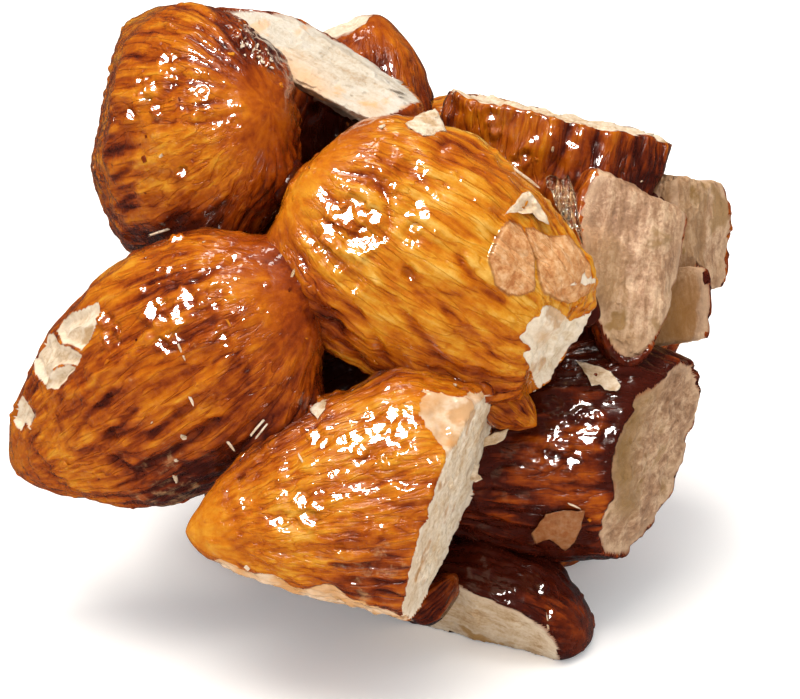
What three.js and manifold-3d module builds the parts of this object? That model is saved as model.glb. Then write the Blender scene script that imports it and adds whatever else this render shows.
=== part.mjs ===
// Nut cluster: caramelised almonds, some whole and some chopped, stuck together in one lump that stands on
// three cut faces. Every almond or chopped piece is its own solid, so each is one named mesh.
//
// Millimetres. The nuts are laid out in the cluster's own frame, which faces the front of the cluster:
// x to the right, y up its face, z out of its face. The whole group then leans back by LEAN, so that the
// part's frame has +Z up, with its origin under the middle of the cluster, on the surface it stands on.
import * as THREE from 'three';
import { mergeVertices } from 'three/addons/utils/BufferGeometryUtils.js';
import Module from 'manifold-3d';

const wasm = await Module();
wasm.setup();

// Driving dimensions.
const LEAN = 25; // degrees that the cluster's face leans back from upright
const FLOOR = -15; // height of the surface it stands on, up from the cluster frame's origin
const GAP = 0.3; // clearance between a nut and one that presses into it
const BLUNT = 0.5; // how round the blunt end is: the exponent of the outline there
const POINT = 0.72; // how pointed the tip is: the exponent of the outline there
const AROUND = 18; // facets round a nut
const ALONG = 11; // facets from its blunt end to its tip
const REACH = 60; // side of the block that a chop takes away, more than any nut

// What each nut shows: caramel over its skin, lighter or darker, or mostly the pale flesh inside.
const AMBER = 0xd07a1a;
const CARAMEL = 0xb05a14;
const BURNT = 0x6e2c0c;
const FLESH = 0xd2b48c;

// Each nut: its length, width and thickness, its middle, and how it is turned, in degrees. heading turns the
// tip anticlockwise from the right, dip turns it away behind the face, and roll turns the nut on its own long
// axis, 0 with its broad side to the front. Each cut is a plane: the way it faces, and how far it is from the
// nut's middle. What lies beyond it has been chopped off. Where two nuts press together, the later one gives.
const NUTS = [
  { name: 'almond_centre', colour: AMBER, size: [20.5, 14.1, 10], at: [2.7, 4.1, 7],
    heading: -32, dip: 5, roll: 0, cuts: [[[0.8, -0.47, 0.37], 7]] },
  { name: 'almond_front', colour: AMBER, size: [24, 14, 10], at: [0.5, -8.1, 8.5],
    heading: 188, dip: 0, roll: 0,
    cuts: [[[0.93, -0.33, 0.15], 2], [[0.5, 0.45, 0.74], 4.9], [[-0.3, -0.95, 0.1], 6.2]] },
  { name: 'almond_left', colour: CARAMEL, size: [23, 13.8, 10.5], at: [-13, -1.7, 4],
    heading: 210, dip: 30, roll: 0, cuts: [] },
  { name: 'almond_upper_left', colour: CARAMEL, size: [20, 14.2, 10.5], at: [-13.2, 11.7, 0],
    heading: 192, dip: 50, roll: 0, cuts: [[[-0.97, 0.2, 0.1], 3.4], [[-0.93, -0.3, 0.1], 4]] },
  { name: 'almond_lower_right', colour: BURNT, size: [23, 12.2, 9.5], at: [8.7, -5.7, 0],
    heading: 182, dip: 0, roll: 0, cuts: [[[0.85, -0.3, 0.45], 4.2]] },
  { name: 'almond_foot', colour: BURNT, size: [14, 10, 7], at: [4.2, -14.1, -1],
    heading: 162, dip: 10, roll: 90, cuts: [[[-0.41, -0.76, 0.5], 1.6]] },
  { name: 'almond_top', colour: CARAMEL, size: [20, 11, 8.5], at: [-3.2, 9.4, -6],
    heading: -95, dip: 0, roll: 40, cuts: [[[-0.45, 0.85, 0.25], 8.5]] },
  { name: 'slice_top', colour: FLESH, size: [13.5, 8.5, 7], at: [-4.8, 15.1, 2.4],
    heading: 149, dip: 15, roll: 74,
    cuts: [[[0.5, 0.83, 0.22], 0.5], [[0.1, 0.72, 0.68], 1], [[-0.46, -0.85, 0], 1.5]] },
  { name: 'half_right', colour: FLESH, size: [13, 10.4, 7], at: [13.2, 5.5, 2.8],
    heading: -98, dip: 0, roll: 60, cuts: [[[0.87, 0, 0.5], 0.3], [[0.43, 0.9, 0], 2.8]] },
  { name: 'slab_upper_right', colour: CARAMEL, size: [22, 13.3, 8.5], at: [8.6, 11.1, -3.8],
    heading: -103, dip: 0, roll: 0, cuts: [[[0.22, 0.97, 0.1], 2]] },
  { name: 'chunk_lower_right', colour: FLESH, size: [12, 9, 7.5], at: [13.6, 2.2, -2],
    heading: -80, dip: 0, roll: 30,
    cuts: [[[0.5, 0, 0.87], 1.5], [[0.1, -0.98, 0], 2], [[-0.1, 0.98, 0], 2]] },
  { name: 'chunk_upper_right', colour: FLESH, size: [14, 9, 7], at: [16.3, 6.5, -5],
    heading: -80, dip: 0, roll: 50, cuts: [[[0.8, 0, 0.6], 0.8], [[0.1, 1, 0], 3.2], [[0, -1, 0], 3]] },
  { name: 'almond_core', colour: BURNT, size: [20, 11, 9], at: [-3, -2.6, -3],
    heading: 25, dip: 0, roll: 20, cuts: [] },
  { name: 'back_foot_left', colour: CARAMEL, size: [18, 12, 9], at: [-2.4, -8, -9.8],
    heading: 3, dip: 0, roll: 0, cuts: [] },
  { name: 'back_foot_right', colour: CARAMEL, size: [16, 10.5, 9], at: [8.2, -6, -9.7],
    heading: 80, dip: 0, roll: 10, cuts: [] },
  { name: 'back_left', colour: CARAMEL, size: [19, 11.5, 9], at: [-10.7, 2.2, -7.8],
    heading: 85, dip: 0, roll: 20, cuts: [] },
  { name: 'back_middle', colour: AMBER, size: [20, 12, 9], at: [-0.7, 2.4, -12.4],
    heading: 152, dip: 0, roll: 0, cuts: [] },
  { name: 'back_right', colour: CARAMEL, size: [14, 9.5, 8], at: [12.6, 4, -10.5],
    heading: 70, dip: 0, roll: 30, cuts: [] },
  { name: 'back_upper_left', colour: CARAMEL, size: [14, 10, 8], at: [-10.5, 12.2, -9.5],
    heading: 50, dip: 0, roll: 0, cuts: [] },
  { name: 'back_upper_right', colour: AMBER, size: [17, 10.5, 8], at: [5.6, 9.2, -11.8],
    heading: -15, dip: 0, roll: 0, cuts: [] },
];

// A whole almond along x, its tip at +x: its outline is swept round its length, then flattened.
function almond([length, width, thickness]) {
  const widest = BLUNT / (BLUNT + POINT);
  const fullest = widest ** BLUNT * (1 - widest) ** POINT;
  const outline = Array.from({ length: ALONG + 1 }, (_, i) => {
    const s = (1 - Math.cos((Math.PI * i) / ALONG)) / 2;
    const halfWidth = ((width / 2) * s ** BLUNT * (1 - s) ** POINT) / fullest;
    return new THREE.Vector2(halfWidth, (s - 0.5) * length);
  });
  outline[ALONG].x = 0;
  return new THREE.LatheGeometry(outline, AROUND).rotateZ(-Math.PI / 2).scale(1, 1, thickness / width);
}

// A closed geometry as a manifold-3d solid, without the triangles that the lathe folds up at its poles.
function solidOf(geometry) {
  const bare = geometry.clone().deleteAttribute('normal').deleteAttribute('uv');
  const merged = mergeVertices(bare, 1e-4);
  const corners = merged.index.array;
  const triVerts = [];
  for (let i = 0; i < corners.length; i += 3) {
    const [a, b, c] = corners.slice(i, i + 3);
    if (a !== b && b !== c && c !== a) triVerts.push(a, b, c);
  }
  return new wasm.Manifold(
    new wasm.Mesh({
      numProp: 3,
      vertProperties: merged.attributes.position.array,
      triVerts: new Uint32Array(triVerts),
    }),
  );
}

function geometryOf(solid) {
  const { vertProperties, triVerts } = solid.getMesh();
  const geometry = new THREE.BufferGeometry();
  geometry.setAttribute('position', new THREE.BufferAttribute(vertProperties, 3));
  geometry.setIndex(new THREE.BufferAttribute(triVerts, 1));
  geometry.computeVertexNormals();
  return geometry;
}

// Chops off what lies beyond the plane that faces `facing`, `distance` from the point `from`.
function chop(solid, from, facing, distance) {
  const way = new THREE.Vector3(...facing).normalize();
  const block = new THREE.BoxGeometry(REACH, REACH, REACH).translate(0, 0, REACH / 2);
  block.applyQuaternion(new THREE.Quaternion().setFromUnitVectors(new THREE.Vector3(0, 0, 1), way));
  const [x, y, z] = new THREE.Vector3(...from).addScaledVector(way, distance).toArray();
  return solid.subtract(solidOf(block.translate(x, y, z)));
}

const lean = THREE.MathUtils.degToRad(LEAN);
const down = [0, -Math.cos(lean), -Math.sin(lean)];

// A nut in the cluster's frame, chopped, and grown by `extra` all over.
function nutSolid({ size, at, heading, dip, roll, cuts }, extra = 0) {
  const turn = new THREE.Euler(...[roll, dip, heading].map(THREE.MathUtils.degToRad), 'ZYX');
  const whole = almond(size.map((side) => side + 2 * extra))
    .applyQuaternion(new THREE.Quaternion().setFromEuler(turn))
    .translate(...at);
  const chopped = cuts.reduce(
    (solid, [facing, distance]) => chop(solid, at, facing, distance + extra),
    solidOf(whole),
  );
  return chop(chopped, [0, 0, 0], down, -FLOOR + extra);
}

const cluster = new THREE.Group();
const placed = [];
for (const nut of NUTS) {
  let solid = nutSolid(nut);
  for (const earlier of placed) solid = solid.subtract(nutSolid(earlier, GAP));
  const glazed = nut.colour !== FLESH;
  const material = new THREE.MeshStandardMaterial({
    color: nut.colour,
    roughness: glazed ? 0.2 : 0.7,
    metalness: 0,
  });
  const mesh = new THREE.Mesh(geometryOf(solid), material);
  mesh.name = nut.name;
  cluster.add(mesh);
  placed.push(nut);
}
cluster.rotation.x = Math.PI / 2 - lean;

// The origin goes under the middle of the cluster, on the surface that it stands on.
const part = new THREE.Group().add(cluster);
const box = new THREE.Box3().setFromObject(part, true);
const middle = box.getCenter(new THREE.Vector3());
cluster.position.set(-middle.x, -middle.y, -box.min.z);

export default part;
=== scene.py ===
# %% [markdown]
# # A nut cluster: almonds stuck together by caramel
# The real thing is a handful of almonds, some whole and some chopped, stirred in boiling sugar and spooned
# out in one lump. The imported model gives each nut's size and place. This script gives each one its skin,
# its torn flesh and its caramel, and adds the crumbs that stuck to it.
# Lengths are millimetres until a mesh is made, because that is how one thinks of a nut.

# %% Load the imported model
import itertools
import math

import bpy
import numpy as np
from mathutils import Matrix, Vector


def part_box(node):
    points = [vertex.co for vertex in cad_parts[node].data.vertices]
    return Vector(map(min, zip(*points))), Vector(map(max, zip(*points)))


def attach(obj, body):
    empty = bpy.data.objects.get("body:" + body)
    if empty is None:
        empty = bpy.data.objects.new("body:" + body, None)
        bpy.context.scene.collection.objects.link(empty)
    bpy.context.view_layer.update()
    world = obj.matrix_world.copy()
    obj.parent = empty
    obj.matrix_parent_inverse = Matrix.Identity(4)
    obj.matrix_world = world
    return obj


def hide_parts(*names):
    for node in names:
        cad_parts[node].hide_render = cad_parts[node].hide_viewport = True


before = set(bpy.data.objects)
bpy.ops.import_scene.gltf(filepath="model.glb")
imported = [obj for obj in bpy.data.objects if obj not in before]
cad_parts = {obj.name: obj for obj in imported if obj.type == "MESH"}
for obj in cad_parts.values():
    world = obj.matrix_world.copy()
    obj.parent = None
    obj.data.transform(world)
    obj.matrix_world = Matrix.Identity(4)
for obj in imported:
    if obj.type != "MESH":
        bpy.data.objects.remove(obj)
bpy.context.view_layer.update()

MM = 0.001

# %% [markdown]
# ## Where the nuts lie
# An almond has a blunt end and a pointed tip. In the cluster's own frame x runs to the right, y up its face
# and z out of its face, and the whole lump leans back by LEAN. heading turns a nut's tip anticlockwise from
# the right, dip turns it away behind the face, and roll turns the nut on its long axis. The nuts' sizes and
# turns are those of the imported model, which is the one thing a scene may not change.
# A cut is where the nut was chopped or snapped: the way it faces, how far it is from the nut's middle, how
# rough it is, from 0 for a knife's cut to 1 for a break, and what it is now: bare flesh, flesh glazed with
# caramel, or whole skin where the nut is only flat.
# Some nuts also say how they differ from the rest: more is how much thicker, and so darker, their caramel is
# drawn, which on the lowest and the hidden nuts is partly painted shade, wrinkle how broad their wrinkles are,
# calm how much of each end is smooth, ribbed how strong their ribs are, and rim how round the edge of their
# cuts is. Those at the back are whole, so a line each is enough for them.

# %% The nuts
LEAN = math.radians(25)
FLOOR = -15

NUTS = [
    dict(name="almond_centre", skin="amber", flesh="fresh", size=(20.5, 14.1, 10), at=(2.7, 4.1, 7),
         turn=(-32, 5, 0), more=-0.07, wrinkle=1.6,
         cuts=[((0.8, -0.47, 0.37), 6.1, 0.5, "bare"), ((-0.66, 0.75, 0), 9.8, 0.1, "skin")]),
    dict(name="almond_front", skin="amber", flesh="fresh", size=(24, 14, 10), at=(0.5, -8.1, 8.5),
         turn=(188, 0, 0), ribbed=0.5, rim=0.025,
         cuts=[((0.93, -0.33, 0.21), 2, 0.1, "bare"), ((0.5, 0.45, 0.74), 5.3, 0.6, "glazed"),
               ((-0.3, -0.95, 0.1), 6.2, 0.5, "glazed"), ((0.25, 0.95, 0.15), 6.6, 0.1, "skin")]),
    dict(name="almond_left", skin="caramel", flesh="pale", size=(23, 13.8, 10.5), at=(-13, -1.7, 4),
         turn=(210, 30, 0), more=-0.06, cuts=[((0.98, 0.1, 0), 8.8, 0.1, "skin")]),
    dict(name="almond_upper_left", skin="caramel", flesh="pale", size=(20, 14.2, 10.5), at=(-13.2, 11.7, 0),
         turn=(192, 50, 0), more=-0.05, calm=0.1, wrinkle=1.4,
         cuts=[((-0.97, 0.2, 0.1), 3.4, 0.15, "skin"), ((-0.93, -0.3, 0.1), 4, 0.15, "skin")]),
    # Its burnt skin and extra caramel are partly its own darker colour and partly painted shade.
    dict(name="almond_lower_right", skin="burnt", flesh="toasted", size=(23, 12.2, 9.5), at=(8.7, -5.7, 0),
         turn=(182, 0, 0), more=0.07, cuts=[((0.85, -0.3, 0.45), 4.7, 0.5, "bare")]),
    # Its burnt skin, its more and its first stain are partly painted shade, as it lies lowest; its flesh is the
    # pale kind, which paints light onto a cut that faces down.
    dict(name="almond_foot", skin="burnt", flesh="pale", size=(14, 10, 7), at=(4.2, -14.1, -1),
         turn=(162, 10, 90), more=0.12, cuts=[((-0.41, -0.76, 0.5), 1.6, 0.3, "bare")]),
    dict(name="almond_top", skin="caramel", flesh="pale", size=(20, 11, 8.5), at=(-3.2, 9.4, -6),
         turn=(-95, 0, 40), more=0.05, cuts=[((-0.45, 0.85, 0.25), 7.7, 0.4, "bare")]),
    dict(name="slice_top", skin="caramel", flesh="blanched", size=(13.5, 8.5, 7), at=(-4.8, 15.1, 2.4),
         turn=(149, 15, 74),
         cuts=[((0.5, 0.83, 0.22), 1.8, 0.35, "bare"), ((0.1, 0.72, 0.68), 1, 0.3, "bare"),
               ((-0.46, -0.85, 0), 0.9, 0.3, "bare")]),
    dict(name="half_right", skin="caramel", flesh="toasted", size=(13, 10.4, 7), at=(13.2, 5.5, 2.8),
         turn=(-98, 0, 60), rim=0.04,
         cuts=[((0.8, 0, 0.6), 0.6, 0.3, "bare"), ((0.22, 0.1, 0.97), -0.2, 0.3, "bare"),
               ((0.43, 0.9, 0), 3.0, 0.25, "bare")]),
    dict(name="slab_upper_right", skin="caramel", flesh="pale", size=(22, 13.3, 8.5), at=(8.6, 11.1, -3.8),
         turn=(-103, 0, 0),
         cuts=[((0.22, 0.97, 0.1), 2, 0.5, "bare"), ((0.85, -0.5, 0), 5.8, 0.3, "skin")]),
    dict(name="chunk_lower_right", skin="burnt", flesh="soaked", size=(12, 9, 7.5), at=(13.6, 2.2, -2),
         turn=(-80, 0, 30), rim=0.04,
         cuts=[((0.5, 0, 0.87), 1.5, 0.2, "bare"), ((0.1, -0.98, 0), 2, 0.2, "bare"),
               ((-0.1, 0.98, 0), 2, 0.2, "bare")]),
    dict(name="chunk_upper_right", skin="caramel", flesh="toasted", size=(14, 9, 7), at=(16.3, 6.5, -5),
         turn=(-80, 0, 50), rim=0.05,
         cuts=[((0.8, 0, 0.6), 0.8, 0.3, "bare"), ((0.1, 1, 0), 3.2, 0.25, "bare"),
               ((0, -1, 0), 3, 0.3, "bare")]),
    # Its burnt skin and much thicker caramel make it nearly black: painted shade, for it shows only in the gap
    # between the front nuts.
    dict(name="almond_core", skin="burnt", flesh="toasted", size=(20, 11, 9), at=(-3, -2.6, -3),
         turn=(25, 0, 20), more=0.3, cuts=[]),
]
for name, skin, size, at, turn in (
    ("back_foot_left", "caramel", (18, 12, 9), (-2.4, -8, -9.8), (3, 0, 0)),
    ("back_foot_right", "caramel", (16, 10.5, 9), (8.2, -6, -9.7), (80, 0, 10)),
    ("back_left", "caramel", (19, 11.5, 9), (-10.7, 2.2, -7.8), (85, 0, 20)),
    ("back_middle", "amber", (20, 12, 9), (-0.7, 2.4, -12.4), (152, 0, 0)),
    ("back_right", "caramel", (14, 9.5, 8), (12.6, 4, -10.5), (70, 0, 30)),
    ("back_upper_left", "caramel", (14, 10, 8), (-10.5, 12.2, -9.5), (50, 0, 0)),
    ("back_upper_right", "amber", (17, 10.5, 8), (5.6, 9.2, -11.8), (-15, 0, 0)),
):
    NUTS.append(dict(name=name, skin=skin, flesh="toasted", size=size, at=at, turn=turn, cuts=[]))
BIG = ["almond_centre", "almond_front", "almond_left", "almond_upper_left", "almond_lower_right"]
BACK = [nut["name"] for nut in NUTS if nut["name"].startswith("back")]
print(len(NUTS), "nuts,", len(BACK), "of them at the back")

# %% Turning and placing
def turned(turn):
    """The matrix that rolls a nut about x, dips it about y and heads it about z, in that order."""
    heading, dip, roll = (math.radians(angle) for angle in turn)
    steps = Matrix.Rotation(heading, 3, "Z"), Matrix.Rotation(dip, 3, "Y"), Matrix.Rotation(roll, 3, "X")
    return np.array(steps[0] @ steps[1] @ steps[2])


UPRIGHT = np.array(Matrix.Rotation(math.pi / 2 - LEAN, 3, "X"))
UP = np.array((0, math.cos(LEAN), math.sin(LEAN)))
for number, nut in enumerate(NUTS):
    nut["seed"] = 3 * number + 1
    nut["matrix"] = turned(nut["turn"])
    nut["at"] = np.array(nut["at"], float)
    nut["cuts"] = [(np.array(way) / np.linalg.norm(way), *rest) for way, *rest in nut["cuts"]]
print("the lump leans back by", round(math.degrees(LEAN)), "degrees, so its up is", UP.round(2))

# %% [markdown]
# ## What is special about some nuts
# A chip is a place where skin and caramel broke off with a sliver of flesh, a husk is a flake of loose skin
# that stayed dry, and skin is a rag of it that still covers a break, each given by its outline on the face.
# A ring is what a burst bubble leaves, and a crinkle is where the glaze set in small flat facets that all
# catch the lamp: both are a place and a radius. A stain is a place, a radius, how much thicker the caramel
# is drawn there, which darkens it, and how cloudy it is. Some stains are painted shade, and the cloudiness is
# partly a painted soft sheen. A groove is a long valley between two ribs, given by its two ends.

# %% Chips, husks, rings, crinkles, stains and grooves
MARKS = {
    "almond_left": [
        ("chip", [(-16.3, 2.5), (-16.2, 2.0), (-16.8, 0.5), (-17.2, 0.0), (-17.7, 0.3), (-18.3, 0.4),
                  (-18.7, 1.0), (-18.4, 1.5), (-17.7, 2.0)]),
        ("chip", [(-19.0, 0.9), (-18.5, 0.2), (-18.0, 0.1), (-17.2, -0.3), (-17.4, -0.8), (-18.0, -0.7),
                  (-18.6, -0.8), (-19.1, -1.1), (-18.9, -0.7), (-19.3, -1.9), (-20.0, -1.3), (-20.1, -0.4),
                  (-19.6, 0.5)]),
        ("chip", [(-17.6, -1.0), (-18.0, -0.9), (-18.5, -1.0), (-19.0, -1.3), (-19.2, -2.1), (-18.6, -2.1),
                  (-18.1, -1.6)]),
        ("chip", [(-20.8, -2.6), (-20.4, -3.1), (-20.1, -3.6), (-20.4, -4.2), (-20.6, -3.9), (-20.9, -4.4),
                  (-21.3, -4.1), (-21.4, -3.7), (-21.2, -3.2)]),
    ],
    "almond_centre": [
        ("husk", [(5.8, 6.8), (6.4, 6.5), (6.8, 5.6), (7.1, 4.9), (7.1, 3.2), (6.4, 2.9), (5.7, 2.9),
                  (5.1, 3.4), (4.7, 4.7), (5.1, 5.8), (5.4, 6.4)]),
        ("husk", [(6.7, 6.4), (7.1, 6.4), (7.9, 6.0), (9.0, 6.1), (9.6, 5.4), (10.1, 4.5), (10.3, 3.6),
                  (10.0, 3.0), (9.0, 2.5), (7.7, 3.0), (7.4, 3.7), (7.3, 4.7), (6.9, 5.5)]),
        ("skin", [(7.2, 3.4), (11.2, 3.6), (10.9, 2.2), (9.2, 1.5), (8.9, 1.7), (8.4, 2.2), (7.4, 2.4)]),
        ("skin", [(6.4, -0.2), (6.9, -0.8), (7.3, -1.6), (7.6, -2.6), (7.9, -3.6), (6.4, -3.6), (5.8, -1.6)]),
    ],
    "chunk_upper_right": [("chip", [(13.3, 10.8), (15.6, 10.8), (15.6, 7.4), (13.3, 7.4)])],
}
RINGS = {
    "almond_centre": [(-2.8, 5.3, 0.28), (-4.3, 5.5, 0.3), (-2.5, 3.6, 0.75), (0.5, 4.1, 0.5),
                      (2.2, 6.0, 0.3)],
    "almond_front": [(-0.6, -5.7, 0.45), (0.2, -5.2, 0.35), (-1.1, -6.2, 0.3)],
    "almond_upper_left": [(-8.8, 12.2, 0.35), (-11.2, 8.4, 0.3)],
}
CRINKLES = {
    "almond_centre": [(-2.5, 6.6, 1.3), (-0.9, 8.4, 0.6), (1.0, 6.9, 0.7), (5.3, -2.2, 0.4), (6.2, 7.9, 0.4)],
    "almond_front": [(-2.2, -4.6, 1.1), (-0.3, -3.9, 1.0), (-4.9, -8.4, 0.9), (-4.4, -3.2, 0.5),
                     (-4.2, -4.7, 0.5), (-6.3, -9.2, 0.3)],
    "almond_left": [(-12.5, 1.5, 1.6), (-15.5, 1.2, 1.0), (-12.6, 4.1, 0.6), (-9.7, 0.4, 0.4),
                    (-12.0, 6.0, 0.3)],
    "almond_upper_left": [(-14.0, 14.2, 0.9), (-12.6, 15.2, 0.7), (-14.4, 12.6, 0.5), (-10.5, 13.7, 0.5),
                          (-13.0, 12.7, 0.4), (-11.7, 9.7, 0.3), (-8.6, 17.0, 0.5), (-7.6, 15.9, 0.4)],
    "almond_lower_right": [(9.4, -4.4, 1.8), (7.8, -4.4, 0.6), (7.9, -3.0, 0.3), (5.6, -7.8, 0.3)],
    "almond_foot": [(7.6, -12.9, 0.5), (5.2, -13.2, 0.3), (8.2, -14.6, 0.3)],
    "slab_upper_right": [(6.7, 10.7, 0.4), (12.0, 9.6, 0.4), (5.4, 12.6, 0.5), (9.6, 11.2, 0.3)],
}
STAINS = {
    "almond_front": [(-1.5, -12.0, 3.2, 0.35, 0.5), (2.0, -8.0, 2.5, 0.12, 0), (-9.0, -8.0, 4.0, 0.05, 0)],
    "almond_left": [(-8.0, -1.0, 3.0, 0.2, 0), (-12.5, -6.5, 3.0, 0.15, 0.2), (-12.5, -8.6, 2.0, 0.1, 0.6),
                    (-17.0, -1.0, 2.5, 0.08, 0)],
    "almond_centre": [(4.0, -1.0, 2.5, 0.08, 0), (5.0, 10.5, 2.5, 0.15, 0), (-2.5, 10.5, 2.5, 0.2, 0),
                      (0.5, 9.5, 2.5, 0.1, 0), (7.5, -1.5, 2.0, -0.1, 0), (7.7, 0.7, 0.5, 0.6, 0),
                      (3.6, 3.6, 1.8, -0.12, 0)],
    "almond_upper_left": [(-13.8, 11.0, 1.6, -0.1, 0.4), (-9.0, 7.5, 2.5, -0.12, 0),
                          (-11.1, 6.3, 1.6, 0.25, 0), (-7.2, 11.0, 1.8, 0.12, 0), (-8.4, 16.2, 1.6, 0.35, 0)],
    "half_right": [(11.4, 5.4, 1.3, 0.5, 0), (11.6, 3.2, 1.3, 0.6, 0), (12.4, 0.6, 1.0, 0.5, 0)],
    # The first stain on almond_foot is partly painted shade.
    "almond_foot": [(4.5, -14.5, 5.0, 0.3, 0), (8.3, -14.8, 2.0, -0.14, 0)],
    "slice_top": [(-7.3, 16.2, 0.9, 0.6, 0), (-6.2, 15.3, 1.0, 0.6, 0), (-5.1, 14.6, 0.9, 0.6, 0),
                  (-4.2, 13.8, 0.8, 0.5, 0), (-1.5, 13.0, 0.8, 0.4, 0)],
    "chunk_upper_right": [(16.5, 6.5, 5.0, 0.42, 0)],
    "chunk_lower_right": [(15.2, 1.8, 3.0, 0.9, 0)],
    "almond_lower_right": [(13.4, -2.2, 1.0, 0.7, 0), (12.6, -3.8, 0.9, 1.0, 0), (12.1, -5.4, 0.9, 1.0, 0),
                           (12.2, -7.0, 0.9, 1.0, 0), (12.5, -8.6, 0.8, 0.9, 0),
                           (10.5, -5.5, 1.2, -0.15, 0), (10.5, -8.0, 1.6, -0.12, 0)],
    # On almond_top this darker caramel is painted shadow, where the slice above shades the nut.
    "almond_top": [(-4.0, 11.0, 2.5, 0.6, 0)],
}
GROOVES = {
    "almond_centre": [((-3.1, 3.2), (-0.2, -1.2)), ((-1.6, 3.9), (2.6, -1.0)), ((0.5, 2.3), (2.0, -0.2)),
                      ((1.6, 2.8), (5.5, -0.8)), ((2.6, 5.1), (6.5, 1.7)), ((-4.8, 3.5), (-1.8, -1.2)),
                      ((-1.6, 10.2), (-0.4, 6.2))],
    "almond_left": [((-18.6, -5.2), (-14.8, -1.7)), ((-18.0, -6.5), (-13.4, -2.3)),
                    ((-17.2, -7.2), (-10.6, -2.5)), ((-15.0, -6.9), (-9.0, -3.5)),
                    ((-11.5, 3.0), (-8.5, 5.2)), ((-16.6, -1.2), (-13.6, 1.0))],
}
print("chips, husks and rags of skin:", sum(map(len, MARKS.values())))
print("stains:", sum(map(len, STAINS.values())), "grooves:", sum(map(len, GROOVES.values())))

# %% [markdown]
# ## Noise as a function
# Wrinkles, lumps and torn flesh all start from smooth noise. Gradient noise gives every corner of a cubic
# lattice a random direction, and a point takes the blend of what its eight corners say. Here it works on
# whole arrays, so one call covers every vertex of a nut.

# %% Gradient noise
DIRECTIONS = np.random.default_rng(7).normal(size=(256, 3))
DIRECTIONS /= np.linalg.norm(DIRECTIONS, axis=1, keepdims=True)
SHUFFLE = np.random.default_rng(8).permutation(256)


def noise(points, seed=0):
    """Gradient noise, about -1 to 1, one wave per unit: each corner's direction dotted with the way from that
    corner to the point, blended by 6t^5 - 15t^4 + 10t^3 along each axis."""
    points = points + np.array((seed * 17.3, seed * 5.7, seed * 11.1))
    cell = np.floor(points).astype(np.int64)
    part = points - cell
    blend = part**3 * (part * (part * 6 - 15) + 10)
    total = np.zeros(points.shape[:-1])
    for corner in itertools.product((0, 1), repeat=3):
        key = SHUFFLE[(cell[..., 2] + corner[2]) % 256]
        key = SHUFFLE[(cell[..., 1] + corner[1] + key) % 256]
        key = SHUFFLE[(cell[..., 0] + corner[0] + key) % 256]
        weight = np.prod(np.where(corner, blend, 1 - blend), axis=-1)
        total += weight * (DIRECTIONS[key] * (part - corner)).sum(-1)
    return total * 1.6


def smooth(value, low, high):
    """0 below low, 1 above high and 3t^2 - 2t^3 between."""
    share = np.clip((value - low) / (high - low), 0, 1)
    return share * share * (3 - 2 * share)


def layered(points, seed=0, layers=3):
    """Noise on noise: each layer has waves half as long and half as high as the one before."""
    return sum(noise(points * 2**n, seed + n) / 2**n for n in range(layers))


tried = noise(np.random.default_rng(1).uniform(0, 50, (4000, 3)))
print("noise spans", tried.min().round(2), "to", tried.max().round(2))

# %% [markdown]
# ## One almond
# Its outline is a teardrop: half its width is s^0.5 (1 - s)^0.72 along its length, blunt where the first
# power rules and pointed where the second does. Swept round and flattened, that is an almond. It could be a
# UV sphere pulled into shape by hand, but a grid from a formula can have its columns crowded where the nut
# is seen, which is the side that faces out of the lump.

# %% The almond's smooth body
BLUNT = 0.5
POINT = 0.72
FULLEST = (BLUNT / (BLUNT + POINT)) ** BLUNT * (POINT / (BLUNT + POINT)) ** POINT
CROWDED = 0.3
COARSE = (40, 40)


def almond(nut, rows, columns):
    """Points of an almond as a grid, rows from its blunt end to its tip and columns round it, with a pole
    point first and last. Returns the points, the way out at each, and s and the angle of each. The angle is
    t - CROWDED sin(t), counted from the side that faces out."""
    length, width, thickness = nut["size"]
    facing = nut["matrix"].T @ (0, 0, -1 if nut["name"] in BACK else 1)
    front = math.atan2(facing[2] * thickness, facing[1] * width)
    s = (1 - np.cos(math.pi * np.arange(rows + 1) / rows)) / 2
    step = 2 * math.pi * np.arange(columns) / columns
    angle = front + step - CROWDED * np.sin(step)
    half = s**BLUNT * (1 - s) ** POINT / FULLEST
    s, angle = (grid.ravel() for grid in np.meshgrid(s[1:-1], angle, indexing="ij"))
    half = np.repeat(half[1:-1], columns)
    points = np.stack(
        ((s - 0.5) * length, half * width / 2 * np.cos(angle), half * thickness / 2 * np.sin(angle)), 1
    )
    ends = np.array(((-length / 2, 0, 0), (length / 2, 0, 0)))
    points = np.vstack((ends[:1], points, ends[1:]))
    s = np.concatenate(((0,), s, (1,)))
    angle = np.concatenate(((0,), angle, (0,)))
    out = points / np.array(nut["size"]) ** 2
    out /= np.linalg.norm(out, axis=1, keepdims=True)
    return points, out, s, angle


TRIED = NUTS[0]
body, out, s, angle = almond(TRIED, *COARSE)
print("smooth,", TRIED["name"], "spans", np.ptp(body, axis=0).round(1), "mm")

# %% [markdown]
# ### The grid's faces
# Every piece below is such a grid, with rings of points between two poles, so one function numbers the
# corners of its faces. The way out at each point comes from the grid too, once its shape is no formula's.

# %% Faces and ways out of a grid
def grid_faces(rows, columns):
    """The four corners of each face of such a grid, and the three of each face at its two poles."""
    ring = np.arange(columns)
    after = (ring + 1) % columns
    start = 1 + np.arange(rows - 2)[:, None] * columns
    quads = np.stack((start + ring, start + after, start + columns + after, start + columns + ring), -1)
    last = 1 + (rows - 2) * columns
    blunt = np.stack((1 + after, 1 + ring, np.zeros(columns, int)), 1)
    tip = np.stack((last + ring, last + after, np.full(columns, last + columns)), 1)
    return quads.reshape(-1, 4), np.vstack((blunt, tip))


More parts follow.
